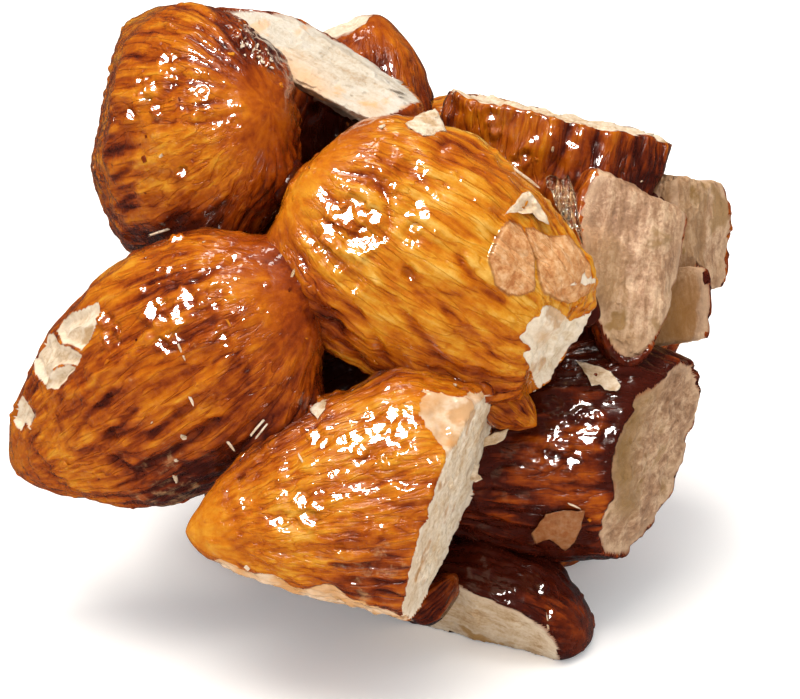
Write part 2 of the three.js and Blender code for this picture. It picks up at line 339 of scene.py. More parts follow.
def grid_normals(points, rows, columns):
    """The way out at each point of a grid, and the area that it stands for: the step to the next column
    crossed with that to the next row."""
    rings = points[1:-1].reshape(rows - 1, columns, 3)
    ends = np.broadcast_to(points[0], rings[:1].shape), np.broadcast_to(points[-1], rings[:1].shape)
    tall = np.concatenate((ends[0], rings, ends[1]))
    round_it = np.roll(rings, -1, 1) - np.roll(rings, 1, 1)
    ways = np.cross(round_it, tall[2:] - tall[:-2])
    ways = np.vstack((ways[0].mean(0), ways.reshape(-1, 3), ways[-1].mean(0)))
    areas = np.linalg.norm(ways, axis=1)
    return ways / areas[:, None], areas / 4


print("its skin is", (grid_normals(body, *COARSE)[1].sum() / 100).round(1), "square centimetres")

# %% [markdown]
# ## Wrinkled skin
# The skin of a boiled and glazed almond is drawn into soft wrinkles that run from end to end, and here and
# there it folds into a sharp valley. Noise that is stretched along the nut gives both: its waves are the
# wrinkles, and the lines where it passes through nought are the folds. Under them are the ribs that every
# almond has, 24 round it, which a sine of the angle makes. They are real relief, because light runs along
# them, and the material reads the same numbers, so that folds and valleys are drawn dark as well as deep and
# ridges light. Part of this is thicker and thinner caramel, and part is painted shade in the creases and
# painted light on the ridges.
# WAVE, RIPPLE, FOLD_DEPTH, RIB, GROWTH and SWELL are heights in millimetres, and IN_FOLDS, IN_VALLEYS and
# ON_RIDGES say how much thicker than elsewhere the caramel is drawn there, which darkens or lightens it,
# partly as painted shade and painted light.

# %% Wrinkles and folds
WRINKLE = 1.2
LENGTHEN = 5.5
WAVE = 0.16
RIPPLE = 0.06
FOLD = 0.16
FOLD_DEPTH = 0.14
RIBS = 24
RIB = 0.06
GROWTH = 0.35
SWELL = 0.15
IN_FOLDS = 0.26
IN_VALLEYS = 0.18
ON_RIDGES = -0.24


def skin_grain(size, s, angle):
    """Where a point is in the skin's own grain: round the nut in millimetres, and along it LENGTHEN times
    shorter, so that even noise comes out as long streaks. Towards the ends the round shrinks as the root of
    the nut's half width does, so that the streaks draw together there without turning into a fan."""
    length, width, _ = size
    half = s**BLUNT * (1 - s) ** POINT / FULLEST
    reach = width / 2 * np.sqrt(half)
    return np.stack((reach * np.cos(angle), reach * np.sin(angle), (s - 0.5) * length / LENGTHEN), 1)


def wrinkles(nut, points, s, angle):
    """How far out each point of the skin stands, in millimetres, and how much thicker the caramel is drawn on
    it for that, which darkens folds and valleys and lightens ridges, partly as painted shade and painted light,
    with how much of both is left where all wrinkles run together at the ends."""
    seed = nut["seed"]
    wrinkle = nut.get("wrinkle", WRINKLE)
    grain = skin_grain(nut["size"], s, angle)
    sway = 1.1 * noise(points / 5, seed + 3)[:, None] + 0.3 * noise(points / 1.6, seed + 6)[:, None]
    waves = noise(grain / wrinkle + sway, seed)
    fine = noise(grain / wrinkle * 2.6 + sway, seed + 1)
    folds = noise(grain * (1, 1, 0.45) / wrinkle * 0.8 + 0.5 * sway, seed + 2)
    calm = nut.get("calm", 0.2)
    fade = smooth(s, 0, calm) * smooth(1 - s, 0.01, 1.1 * calm)
    somewhere = smooth(noise(points / 4.5, seed + 4), -0.1, 0.35)
    fold = np.exp(-((folds / FOLD) ** 2)) * somewhere * fade
    growth = GROWTH * noise(points / 8, seed + 5) - SWELL
    ribs = np.sin(RIBS * angle + 2.2 * noise(points / 3.5, seed + 7) + 0.8 * noise(points / 1.4, seed + 8))
    ribbed = smooth(noise(points / 5, seed + 9), -0.35, 0.2) * fade * nut.get("ribbed", 1)
    valley = smooth(-ribs, 0, 1) * ribbed
    height = growth + fade * (WAVE * waves + RIPPLE * fine) - FOLD_DEPTH * fold + RIB * ribs * ribbed
    ridge = np.clip(0.5 + fade * (0.4 * waves + 0.4 * fine), 0, 1)
    # Thicker caramel in folds and valleys, thinner on ridges: partly real, partly painted shade in creases and
    # painted light on ridges.
    thick = IN_FOLDS * fold + IN_VALLEYS * valley + ON_RIDGES * ridge - 0.03
    return height, thick, dict(fade=fade, grain=grain)


height, thick, _ = wrinkles(TRIED, body, s, angle)
print("its skin stands", height.min().round(2), "to", height.max().round(2), "mm out")

# %% [markdown]
# ## Chopped and broken faces
# A chop could be a boolean, which gives crisp edges but a tangle of faces. Here the grid itself is pulled
# in: every point that lies beyond a cut slides straight towards the nut's heart until it is on the cut. The
# cut is not quite flat, so the flesh gets its fibres and its breaks, and a soft minimum rounds the rim a
# little, as the crumbly edge of a real nut is, and much more where the nut is only flat. How far a point was
# pulled in is how deep under the skin it lies, and the flesh is coloured by that.

# %% Pull the grid in to the cuts
SHARP_RIM = 0.012
SOFT_RIM = 0.05
FAR = 9.0
HEART_STEPS = 60
HOLLOW = 3.2
CREASE = 1.9
GRIT = 0.35
ALONG_FIBRES = np.array((0.35, 2.2, 2.2))


def torn(points, rough, seed):
    """How far a cut stands out from its plane: hollows about 3 mm across that meet in creases, then fibres
    that run along the nut, then grit."""
    hollows = layered(points / HOLLOW, seed, 3)
    creases = 0.35 - np.abs(noise(points / CREASE, seed + 5))
    fibres = noise(points * ALONG_FIBRES, seed + 1)
    grit = noise(points / GRIT, seed + 2)
    return rough * (0.8 * hollows + 0.6 * creases) + 0.08 * fibres + 0.05 * grit


def heart_of(cuts, inset):
    """A point inside the nut that is at least inset from every cut: it steps away from the tightest one."""
    heart = np.zeros(3)
    for _ in range(HEART_STEPS):
        rooms = [far - way @ heart for way, far, *_ in cuts]
        if min(rooms) >= inset:
            break
        heart = heart - 4 * inset / HEART_STEPS * cuts[int(np.argmin(rooms))][0]
    return heart


def soft_least(values, rim):
    """The least of each column, rounded where two are within about rim of each other:
    -rim log(sum of exp(-value / rim))."""
    least = values.min(0)
    return least - rim * np.log(np.exp(-(values - least) / rim).sum(0))


def pull_in(nut, points):
    """Slides each point towards the heart by a share t: the soft minimum of 1 and, for each cut, the share
    at which the line to the heart meets it. Also says how deep each point went and which cut it is on."""
    cuts = nut["cuts"] + [(-UP, float(nut["at"] @ UP) - FLOOR, 0, "skin")]
    cuts = [(way @ nut["matrix"], *rest) for way, *rest in cuts]
    heart = heart_of(cuts, 0.3 * min(nut["size"]))
    lines = points - heart
    shares = [np.ones(len(points))]
    for number, (way, far, rough, _) in enumerate(cuts):
        towards = np.maximum(lines @ way, 1e-6)
        room = far - way @ heart
        share = np.minimum(room / towards, FAR)
        for _ in range(2 if rough else 0):
            spot = heart + share[:, None] * lines
            share = np.minimum((room + torn(spot, rough, nut["seed"] + 20 + number)) / towards, FAR)
        shares.append(share)
    shares = np.array(shares)
    skin = np.array([True] + [cover == "skin" for *_, cover in cuts])
    share = soft_least(shares[skin], SOFT_RIM)
    share = soft_least(np.vstack((share, shares[~skin])), nut.get("rim", SHARP_RIM))
    depth = (1 - share) * np.linalg.norm(lines, axis=1)
    covers = np.array(["skin"] + [cover for *_, cover in cuts])[shares.argmin(0)]
    return heart + share[:, None] * lines, depth, covers


chopped, depth, _ = pull_in(TRIED, body)
print("chopped, it spans", np.ptp(chopped, axis=0).round(1), "mm")
print("the deepest flesh that shows was", depth.max().round(1), "mm under the skin")

# %% [markdown]
# ## From the cluster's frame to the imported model's
# The cluster's frame has its origin somewhere inside the lump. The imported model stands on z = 0 under its own
# middle, so the shift from one to the other comes from the boxes of its nodes: each smooth, chopped nut is
# boxed here, and the middle value of all the differences is the shift.

# %% Find the shift from the boxes
def to_frame(points):
    """From the cluster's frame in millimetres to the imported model's in metres: stood up by the lean."""
    return (points @ UPRIGHT.T) * MM + SHIFT


SHIFT = np.zeros(3)
offsets = []
for nut in NUTS:
    flat = {**nut, "cuts": [(way, far, 0, cover) for way, far, _, cover in nut["cuts"]]}
    placed = pull_in(flat, almond(nut, *COARSE)[0])[0]
    here = to_frame(placed @ nut["matrix"].T + nut["at"])
    low, high = (np.array(corner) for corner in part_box(nut["name"]))
    offsets.append((low + high) / 2 - (here.min(0) + here.max(0)) / 2)
SHIFT = np.median(offsets, axis=0)
SHIFT[2] = -FLOOR * MM
print("shift in mm:", (SHIFT / MM).round(2))
print("largest difference in mm:", (np.abs(offsets - SHIFT).max(0) / MM).round(2))

# %% [markdown]
# ## Chips and husks
# Both are outlines on the face of the lump. A point's distance to the nearest side of an outline, negative
# outside, is all that is needed: noise added to it frays the edge, a chip sinks as the distance grows and a
# husk steps up.

# %% How far inside an outline
def into(points, outline):
    """How far each point is inside an outline, seen from the front: the distance to its nearest side, and
    inside where a line to the right crosses the sides an odd number of times."""
    here = np.array(outline)
    side = np.roll(here, -1, 0) - here
    away = points[:, None, :2] - here
    share = np.clip((away * side).sum(-1) / (side**2).sum(-1), 0, 1)
    gap = np.linalg.norm(away - share[..., None] * side, axis=-1).min(1)
    spans = (away[..., 1] < 0) != (away[..., 1] < side[:, 1])
    level = np.where(side[:, 1] == 0, 1, side[:, 1])
    crossed = spans & (away[..., 0] < away[..., 1] / level * side[:, 0])
    return np.where(crossed.sum(1) % 2, gap, -gap)


square = [(0, 0), (2, 0), (2, 2), (0, 2)]
print("the middle of a square of 2 mm is", into(np.ones((1, 3)), square)[0], "mm inside it")

# %% Chips and husks
MARGIN = 0.08
FRAY = 0.05
CHIP_DEPTH = 0.3
HUSK_RISE = 0.16


def marked(nut, points, ways, depth):
    """The rise of each point for the marks on its nut, its new depth and how much it is husk."""
    rise = np.zeros(len(points))
    husk = np.zeros(len(points))
    for number, (kind, outline) in enumerate(MARKS.get(nut["name"], ())):
        low, high = np.min(outline, 0) - 1, np.max(outline, 0) + 1
        close = np.flatnonzero(((points[:, :2] > low) & (points[:, :2] < high)).all(1) & (ways[:, 2] > 0))
        inner = into(points[close], outline) + MARGIN + FRAY * noise(points[close] / 0.45, 40 + number)
        if kind == "skin":
            depth[close] *= 1 - smooth(inner, 0, 0.15)
        elif kind == "chip":
            uneven = 1 + 0.5 * noise(points[close] / 0.9, 50 + number)
            rise[close] -= CHIP_DEPTH * smooth(inner, 0, 0.3) * uneven
            depth[close] = np.where(inner > 0, 0.2 + 2.2 * inner, depth[close])
        else:
            edge = smooth(inner, 0, 0.12)
            rise[close] += HUSK_RISE * edge * (1 + 0.6 * noise(points[close] / 1.1, 50 + number))
            husk[close] = np.maximum(husk[close], edge)
    return rise, depth, husk


placed = chopped @ TRIED["matrix"].T + TRIED["at"]
husk = marked(TRIED, placed, out @ TRIED["matrix"].T, depth.copy())[2]
print("husk lies on", round(100 * (husk > 0.5).mean()), "% of its points")

# %% [markdown]
# ### Stains and grooves
# A stain is caramel that is drawn thicker or cloudier. Some stains are painted shade, and the cloudiness is
# partly a painted soft sheen. A groove is a valley between two ribs, where the caramel is drawn thicker and
# so darker, partly as painted shade. Both fade out as a bell, exp(-gap^2), over the gap to a point or to a
# line, so that neither has an edge.

# %% Stains and grooves
GROOVE_WIDTH = 0.25
GROOVE_ENDS = 0.2


def stained(nut, points):
    """How much thicker and how much cloudier the caramel is at each point: a bell over each stain."""
    stain, haze = np.zeros((2, len(points)))
    for x, y, radius, thicker, cloudier in STAINS.get(nut["name"], ()):
        gap = np.hypot(points[:, 0] - x, points[:, 1] - y)
        bell = np.exp(-((gap / radius) ** 2)) * (points[:, 2] > nut["at"][2])
        stain += thicker * bell
        haze += cloudier * bell
    return stain, haze


def grooved(nut, points):
    """How deep each point lies in a groove, 0 to 1: a bell over its distance to the groove's line, which
    wavers, and which fades out at both ends."""
    groove = np.zeros(len(points))
    for number, (start, stop) in enumerate(GROOVES.get(nut["name"], ())):
        side = np.subtract(stop, start)
        away = points[:, :2] - start
        share = np.clip(away @ side / (side @ side), 0, 1)
        across = (away[:, 0] * side[1] - away[:, 1] * side[0]) / np.linalg.norm(side)
        across = across + 0.35 * noise(points / 1.8, 90 + number)
        bell = np.exp(-((across / GROOVE_WIDTH) ** 2))
        bell = bell * smooth(share, 0, GROOVE_ENDS) * smooth(1 - share, 0, GROOVE_ENDS)
        groove = np.maximum(groove, bell * (points[:, 2] > nut["at"][2]))
    return groove


print("grooves lie on", round(100 * (grooved(TRIED, placed) > 0.2).mean()), "% of its points")

# %% [markdown]
# ## The caramel's own shape
# Caramel that boiled as it set is a lumpy glass: pebbles under a millimetre across, swarms of beads, the
# rings of burst bubbles, crinkles, and a fillet wherever two nuts meet. A lamp shows in every one of them
# that leans the right way, so the glaze sparkles as a crowd of small hard spots. A bump map alone would leave
# the nut's outline smooth, so most of it is relief. Beads and rings come first: one bump at many places.

# %% Beads and rings
def bead(reach):
    """A dome, a third of its radius high."""
    return 0.34 * np.clip(1 - reach**2, 0, 1) ** 0.8


def bubble(reach):
    """What a burst bubble leaves: a round rim at reach 1, and a hollow inside it."""
    return 0.17 * np.exp(-(((reach - 1) / 0.26) ** 2)) - 0.2 * np.exp(-((reach / 0.75) ** 4))


def raised(points, sites, sizes, shape):
    """The rise of each point for one bump at each site, of that size in millimetres."""
    rise = np.zeros(len(points))
    for site, size in zip(sites, sizes):
        reach = np.linalg.norm(points - site, axis=1) / size
        close = reach < 2
        rise[close] += size * shape(reach[close])
    return rise


def on_face(points, ways, x, y):
    """The number of the point nearest to x, y among those that face the front."""
    gap = np.hypot(points[:, 0] - x, points[:, 1] - y) + np.where(ways[:, 2] > 0.1, 0, 99)
    return int(gap.argmin())


print("a bead 1 mm in radius is", bead(np.zeros(1))[0], "mm high")

# %% [markdown]
# ### How near the next nut is
# Caramel gathers where another nut is near and is drawn darker there, partly as painted shade between the
# nuts, so every point has to know how near that is. A ray from each point could tell, but the formula of the
# other nut tells it for all points at once. The finished nuts run into each other inside the lump, out of
# sight, and there the gap is less than nought.

# %% The gap to the next nut
FILLET = 1.7


def outside(nut, points):
    """Roughly how far points are outside a nut: f over the length of its slope, where f is
    (y / a)^2 + (z / b)^2 less half(s)^2, and no less than how far they are beyond its ends and cuts."""
    x, y, z = ((points - nut["at"]) @ nut["matrix"]).T
    length, width, thickness = nut["size"]
    s = np.clip(x / length + 0.5, 0.002, 0.998)
    half = s ** (2 * BLUNT) * (1 - s) ** (2 * POINT) / FULLEST**2
    slope = half * (2 * BLUNT / s - 2 * POINT / (1 - s)) / length
    a, b = width / 2, thickness / 2
    steep = np.sqrt(slope**2 + (2 * y / a**2) ** 2 + (2 * z / b**2) ** 2)
    far = ((y / a) ** 2 + (z / b) ** 2 - half) / np.maximum(steep, 1e-3)
    far = np.maximum(far, np.abs(x) - length / 2)
    for way, reach, *_ in nut["cuts"]:
        far = np.maximum(far, (points - nut["at"]) @ way - reach)
    return far


def closeness(nut, points):
    """How far each point is from the nearest other nut, in millimetres."""
    least = np.full(len(points), FAR)
    for other in NUTS:
        apart = np.linalg.norm(other["at"] - nut["at"])
        if other is not nut and apart < (other["size"][0] + nut["size"][0]) / 2 + FILLET:
            least = np.minimum(least, outside(other, points))
    return least


print("the least gap between it and the next nut is", closeness(TRIED, placed).min().round(2), "mm")

# %% [markdown]
# ### Crinkles and the whole glaze
# A crinkle is a flat facet, so it is levelled rather than raised. All of them face SHINE, halfway between the
# lamp and the front, and so they light up together. BEADS and BUBBLES are how many there are to a square
# millimetre, and SAG, PEBBLE and PIMPLE how high the waves, the pebbles and their fine grain are in
# millimetres.

# %% Crinkles and glaze
BEADS = 0.35
BUBBLES = 0.02
SAG = 0.2
PEBBLE = 0.13
PIMPLE = 0.04
LAMP_WAY = np.array((-0.3, 0.62, 0.72))
SHINE = (LAMP_WAY + (0, 0, 1)) / np.linalg.norm(LAMP_WAY + (0, 0, 1))


def crinkled(points, ways, rise, flat, site, size):
    """Levels the relief near a site into a facet with a ragged edge that faces halfway between the lamp and
    the front: a plane through the site, square to SHINE, and a fifth of the relief that was there."""
    away = points - site
    reach = np.linalg.norm(away, axis=1) / size
    close = np.flatnonzero((reach < 1.8) & (ways @ SHINE > 0.6))
    ragged = reach[close] + 0.5 * noise(points[close] / 0.5, 60)
    share = 1 - smooth(ragged, 0.75, 1.1)
    plane = np.clip(-(away[close] @ SHINE) / (ways[close] @ SHINE), -0.25, 0.25)
    rise[close] += share * (plane - 0.8 * rise[close])
    flat[close] = np.maximum(flat[close], share)


def glaze(nut, points, ways, areas, gap, fade):
    """How much each point stands out for the caramel on it, in millimetres, and how flat it set there, from 0
    to 1. It is smoother at the tips."""
    seed = nut["seed"]
    rng = np.random.default_rng(seed)
    patchy = 0.3 + 0.7 * smooth(noise(points / 3.5, seed + 31), -0.3, 0.3)
    fine = PEBBLE * noise(points / 0.9, seed + 32) + PIMPLE * noise(points / 0.45, seed + 33)
    rise = SAG * noise(points / 2.6, seed + 30) + patchy * fine * (0.3 + 0.7 * fade)
    beads, bubbles = (int(each * areas.sum()) for each in (BEADS, BUBBLES))
    swarm = areas * (0.04 + smooth(noise(points / 2.2, seed + 34), 0.05, 0.5))
    sites = points[rng.choice(len(points), beads, p=swarm / swarm.sum())]
    rise += raised(points, sites, 0.12 + 0.18 * rng.random(beads) ** 2, bead)
    sites = points[rng.choice(len(points), bubbles, p=areas / areas.sum())]
    rise += raised(points, sites, rng.uniform(0.16, 0.4, bubbles), bubble)
    for x, y, size in RINGS.get(nut["name"], ()):
        rise += raised(points, points[[on_face(points, ways, x, y)]], [size], bubble)
    flat = np.zeros(len(points))
    for x, y, size in CRINKLES.get(nut["name"], ()):
        middle = points[on_face(points, ways, x, y)]
        near = points[np.linalg.norm(points - middle, axis=1) < size]
        for site in near[rng.integers(len(near), size=int(3 + 7 * size**2))]:
            crinkled(points, ways, rise, flat, site, rng.uniform(0.2, 0.3 + 0.4 * size))
    return rise + FILLET / 4 * np.clip(1 - gap / FILLET, 0, 1) ** 2, flat


print("crinkles face", SHINE.round(2))

# %% [markdown]
# ## Put a nut together
# The order is that of the real thing: the nut grows, is chopped, loses chips and husks, and is glazed. What
# each step knows is kept as a number for each point, for the materials to read. The caramel is drawn thicker,
# and so darker, where another nut is nearer than POOL_REACH, in grooves and on undersides. Part of this is
# caramel that pools there, and part is painted shade between the nuts, in the grooves and on the sides that
# face down.

# %% Points of a finished nut
SKIN_DEPTH = 0.12
POOL_REACH = 2.4
# How much darker the caramel is drawn near other nuts and underneath: partly caramel that pools, partly painted
# shade.
IN_POOLS_AND_SHADE = 0.34
# How much darker the caramel is drawn in grooves: partly real, partly painted shade.
IN_GROOVES = 0.19
GROOVE_DEPTH = 0.16


def nut_points(nut, rows, columns):
    """The finished grid of a nut in the cluster's frame, with what its materials need to know."""
    body, out, s, angle = almond(nut, rows, columns)
    height, thick, values = wrinkles(nut, body, s, angle)
    inside, depth, covers = pull_in(nut, body + out * height[:, None])
    depth = np.where(covers == "skin", 0, depth)
    points = inside @ nut["matrix"].T + nut["at"]
    ways, areas = grid_normals(points, rows, columns)
    rise, depth, husk = marked(nut, points, ways, depth)
    stain, haze = stained(nut, points)
    groove = grooved(nut, points)
    gap = np.full(len(points), FAR) if "slot" in nut else closeness(nut, points)
    wet = (covers == "glazed").astype(float)
    bare = smooth(depth, SKIN_DEPTH / 2, 2 * SKIN_DEPTH) * (1 - 0.7 * wet)
    dry = np.maximum(bare, husk)
    glass, flat = glaze(nut, points, ways, areas, gap, values["fade"])
    points = points + ways * (rise + (1 - dry) * (glass - GROOVE_DEPTH * groove))[:, None]
    below = np.minimum(points @ UP - FLOOR, 0)
    points = points - below[:, None] * UP
    # Darker caramel near other nuts and on sides that face down: partly caramel that pools there, partly
    # painted shade.
    pooled_and_shaded = np.clip(1 - gap / POOL_REACH, 0, 1) + 0.7 * smooth(-(ways @ UP), 0, 0.9)
    thick = thick + IN_POOLS_AND_SHADE * pooled_and_shaded + IN_GROOVES * groove + stain + nut.get("more", 0)
    nut.update(points=points, ways=ways, areas=areas, gap=gap, depth=depth)
    return points, {**values, "inside": inside, "depth": depth, "husk": husk, "wet": wet, "thick": thick,
                    "stain": stain, "haze": haze, "flat": flat}


print("each point knows its", ", ".join(nut_points(TRIED, *COARSE)[1]))

# %% [markdown]
# ## Meshes
# Blender takes whole arrays through foreach_set, which is far quicker than a list of vertices. A point
# attribute carries a number or a vector for each vertex, and a material reads it by name.

# %% Make a mesh from arrays
def make_piece(name, points, faces, materials, values=None, slots=None, rounded=True):
    """A mesh piece from points in metres and arrays of faces, each with its own number of corners. Its faces
    are shaded as one round surface, or as flat facets where rounded is False."""
    mesh = bpy.data.meshes.new(name)
    corners = np.concatenate([group.ravel() for group in faces])
    sizes = np.concatenate([np.full(len(group), group.shape[1]) for group in faces])
    mesh.vertices.add(len(points))
    mesh.vertices.foreach_set("co", points.astype(np.float32).ravel())
    mesh.loops.add(len(corners))
    mesh.loops.foreach_set("vertex_index", corners.astype(np.int32))
    mesh.polygons.add(len(sizes))
    mesh.polygons.foreach_set("loop_start", (np.cumsum(sizes) - sizes).astype(np.int32))
    mesh.update(calc_edges=True)
    mesh.polygons.foreach_set("use_smooth", np.full(len(sizes), rounded))
    for material in materials:
        mesh.materials.append(material)
    if slots is not None:
        mesh.polygons.foreach_set("material_index", slots.astype(np.int32))
    for key, value in (values or {}).items():
        kind, field = ("FLOAT", "value") if value.ndim == 1 else ("FLOAT_VECTOR", "vector")
        mesh.attributes.new(key, kind, "POINT").data.foreach_set(field, value.astype(np.float32).ravel())
    mesh.update()
    piece = bpy.data.objects.new(name, mesh)
    bpy.context.scene.collection.objects.link(piece)
    return piece


# %% [markdown]
# ## Materials
# Colours are picked as sRGB hex and turned to the linear values that shaders add up in. One helper adds a
# node with its settings and its links, and every material below is written with it. Inputs are given by name,
# or by number where names repeat: a Mix node of colours has its share at 0 and its colours at 6 and 7, and a
# Map Range node has its value at 0, the span that it comes from at 1 and 2 and what it becomes at 3 and 4.

# %% Colours
def linear(hex_colour):
    """An sRGB hex colour as linear red, green, blue and alpha."""
    parts = [int(hex_colour[i:i + 2], 16) / 255 for i in (1, 3, 5)]
    return tuple(p / 12.92 if p <= 0.04045 else ((p + 0.055) / 1.055) ** 2.4 for p in parts) + (1.0,)


print("amber in linear light:", [round(part, 3) for part in linear("#D08B22")])


# %% Nodes
def plug(tree, node, sockets):
    """Sets inputs of a node by name or number. Each takes a node, which gives its first output, an output, a
    hex colour or a value."""
    for key, value in sockets.items():
        if isinstance(value, bpy.types.Node):
            value = value.outputs[0]
        if isinstance(value, bpy.types.NodeSocket):
            tree.links.new(value, node.inputs[key])
        else:
            node.inputs[key].default_value = linear(value) if isinstance(value, str) else value


def add(tree, kind, sockets=None, stops=(), **settings):
    """Adds a node with its settings and inputs. stops are the (place, hex colour) pairs of a colour ramp."""
    node = tree.nodes.new("ShaderNode" + kind)
    for key, value in settings.items():
        setattr(node, key, value)
    for _ in stops[2:]:
        node.color_ramp.elements.new(0.5)
    for number, (place, colour) in enumerate(stops):
        node.color_ramp.elements[number].position = place
        node.color_ramp.elements[number].color = linear(colour)
    plug(tree, node, sockets or {})
    return node


def new_material(name):
    """An empty material with its node tree and its Principled shader."""
    material = bpy.data.materials.new(name)
    material.use_nodes = True
    return material, material.node_tree, material.node_tree.nodes["Principled BSDF"]


COLOURS = dict(data_type="RGBA")
EASED = dict(interpolation_type="SMOOTHSTEP")
SCALED = dict(operation="MULTIPLY")
SCALED_AND_ADDED = dict(operation="MULTIPLY_ADD")

# %% [markdown]
# ### Caramel over almond skin
# Boiled sugar turns amber at about 170 degrees and dark brown soon after. It is a clear yellow to brown
# glass, and what is seen is the skin through it. Glass takes away a share of the blue and a smaller share of
# the green for each millimetre, so the colour depends on how much caramel light went through: thin caramel is
# golden, thick is red brown and very thick is nearly black. One ramp holds that, and all three skins read it,
# each with its own thickness to start from. It is drawn thick in folds and where nuts meet, and thin on
# ridges. Part of this is the caramel's own pooling, and part is painted shade in the folds and between the nuts
# and painted light on the ridges.
# The surface is as smooth as glass, IOR about 1.5, with a fine grain of bubbles left in places. Where fog and
# haze make it cloudy, the colour is mixed towards a pale tan: partly the cloudy sugar, partly a painted soft
# sheen.
# The patterns read the nut's own points in millimetres, so Scale is how many waves there are to one: clouds
# are 4 mm across, fog and pebbles 0.9 mm, mottle 0.8 mm and the flecks of a husk 0.5 mm. Flames, veins and
# threads read the grain, which draws them out along the nut, and are 1.2, 0.7 and 0.3 mm wide. The skin's own
# fibres are too fine to show, so the threads are drawn coarser than they are.

# %% Skin material
THICKNESS = (
    (0.0, "#E0AC50"), (0.2, "#D08B22"), (0.38, "#C06B0E"), (0.55, "#A64F09"), (0.7, "#893707"),
    (0.85, "#632107"), (1.0, "#401106"),
)
BRIGHTEST = 0.31


def caramel_skin(name, sugar):
    """Caramel over wrinkled skin. sugar is how thick it lies, from 0 to 1, before folds, pools and stains."""
    material, tree, shader = new_material(name)
    thick, fade, haze, husk, flat = (
        add(tree, "Attribute", attribute_name=key).outputs["Fac"]
        for key in ("thick", "fade", "haze", "husk", "flat")
    )
    grain, inside = (
        add(tree, "Attribute", attribute_name=key).outputs["Vector"] for key in ("grain", "inside")
    )
    threads = add(tree, "TexNoise", {"Vector": grain, "Scale": 3.0, "Detail": 4, "Distortion": 0.3})
    threads = add(tree, "Math", {0: threads, 1: 0.5}, operation="SUBTRACT")
    threads = add(tree, "Math", {0: threads, 1: fade}, **SCALED)
    flames = add(tree, "TexNoise", {"Vector": grain, "Scale": 0.85, "Detail": 3, "Distortion": 0.8})
    clouds = add(tree, "TexNoise", {"Vector": inside, "Scale": 0.23, "Detail": 3, "Roughness": 0.5})
    mottle = add(tree, "TexNoise", {"Vector": inside, "Scale": 1.3, "Detail": 5, "Roughness": 0.7})
    veins = add(tree, "TexNoise", {"Vector": grain, "Scale": 1.5, "Detail": 2, "Distortion": 0.5})
    veins = add(tree, "Math", {0: veins, 1: 0.5}, operation="SUBTRACT")
    veins = add(tree, "Math", {0: veins}, operation="ABSOLUTE")
    veins = add(tree, "MapRange", {0: veins, 1: 0, 2: 0.05, 3: 1, 4: 0}, **EASED)
    veins = add(tree, "Math", {0: veins, 1: fade}, **SCALED)
    thick = add(tree, "Math", {0: thick, 1: sugar + BRIGHTEST}, operation="ADD")
    for pattern, share in ((clouds, 0.45), (flames, -0.45), (threads, -0.7), (mottle, -0.5), (veins, 0.1)):
        thick = add(tree, "Math", {0: pattern, 1: share, 2: thick}, **SCALED_AND_ADDED)
    fog = add(tree, "TexNoise", {"Vector": inside, "Scale": 1.1, "Detail": 6, "Roughness": 0.72})
    cloudy = add(tree, "Math", {0: haze, 1: 0.25, 2: fog}, **SCALED_AND_ADDED)
    # A pale tan where the caramel is cloudy: partly cloudy sugar, partly a painted soft sheen.
    cloud_and_sheen = add(tree, "MapRange", {0: cloudy, 1: 0.62, 2: 0.8, 3: 0, 4: 0.5}, **EASED)
    flecks = add(tree, "TexNoise", {"Vector": inside, "Scale": 2.1, "Detail": 5, "Roughness": 0.7})
    flecks = add(tree, "ValToRGB", {0: flecks}, ((0.35, "#AE6C3C"), (0.5, "#CC9460"), (0.68, "#E0B68A")))
    blotches = add(tree, "MapRange", {0: fog, 1: 0.5, 2: 0.62, 3: 0, 4: 0.55}, **EASED)
    tan = add(tree, "Mix", {0: blotches, 6: flecks, 7: "#B9743C"}, **COLOURS).outputs[2]
    rim = add(tree, "Math", {0: husk, 1: -1.0, 2: 1.0}, **SCALED_AND_ADDED)
    rim = add(tree, "Math", {0: husk, 1: rim}, **SCALED)
    rim = add(tree, "Math", {0: rim, 1: 2.2}, **SCALED)
    colour = add(tree, "ValToRGB", {0: thick}, THICKNESS).outputs[0]
    # The first tint is the cloudy tan, partly a painted soft sheen.
    for share, tint in ((cloud_and_sheen, "#C29868"), (husk, tan), (rim, "#6E3413")):
        colour = add(tree, "Mix", {0: share, 6: colour, 7: tint}, **COLOURS).outputs[2]
    lines = add(tree, "Math", {0: veins, 1: -0.25, 2: threads}, **SCALED_AND_ADDED)
    pebbles = add(tree, "TexNoise", {"Vector": inside, "Scale": 1.1, "Detail": 2, "Roughness": 0.55})
    pebbles = add(tree, "Math", {0: lines, 1: 0.1, 2: pebbles}, **SCALED_AND_ADDED)
    calm = add(tree, "Math", {0: flat, 1: -0.55, 2: 1.0}, **SCALED_AND_ADDED)
    rough = add(tree, "MapRange", {0: cloudy, 1: 0.45, 2: 0.75, 3: 0.25, 4: 0.4}, **EASED)
    plug(tree, shader, {
        "Base Color": colour,
        "Normal": add(tree, "Bump", {"Height": lines, "Strength": 1.0, "Distance": 0.16 * MM}),
        "Roughness": add(tree, "Math", {0: husk, 1: 0.4, 2: rough}, **SCALED_AND_ADDED),
        "Coat Normal": add(tree, "Bump", {"Height": pebbles, "Strength": calm, "Distance": 0.14 * MM}),
        "Coat Weight": add(tree, "Math", {0: husk, 1: -0.9, 2: 1.0}, **SCALED_AND_ADDED),
        "Coat Roughness": 0.04,
        "Specular IOR Level": 0.1,
        "IOR": 1.5,
    })
    return material


SKINS = {
    "amber": caramel_skin("amber_caramel_on_almond_skin", 0.36),
    "caramel": caramel_skin("caramel_on_almond_skin", 0.58),
    "burnt": caramel_skin("burnt_caramel_on_almond_skin", 0.78),
}

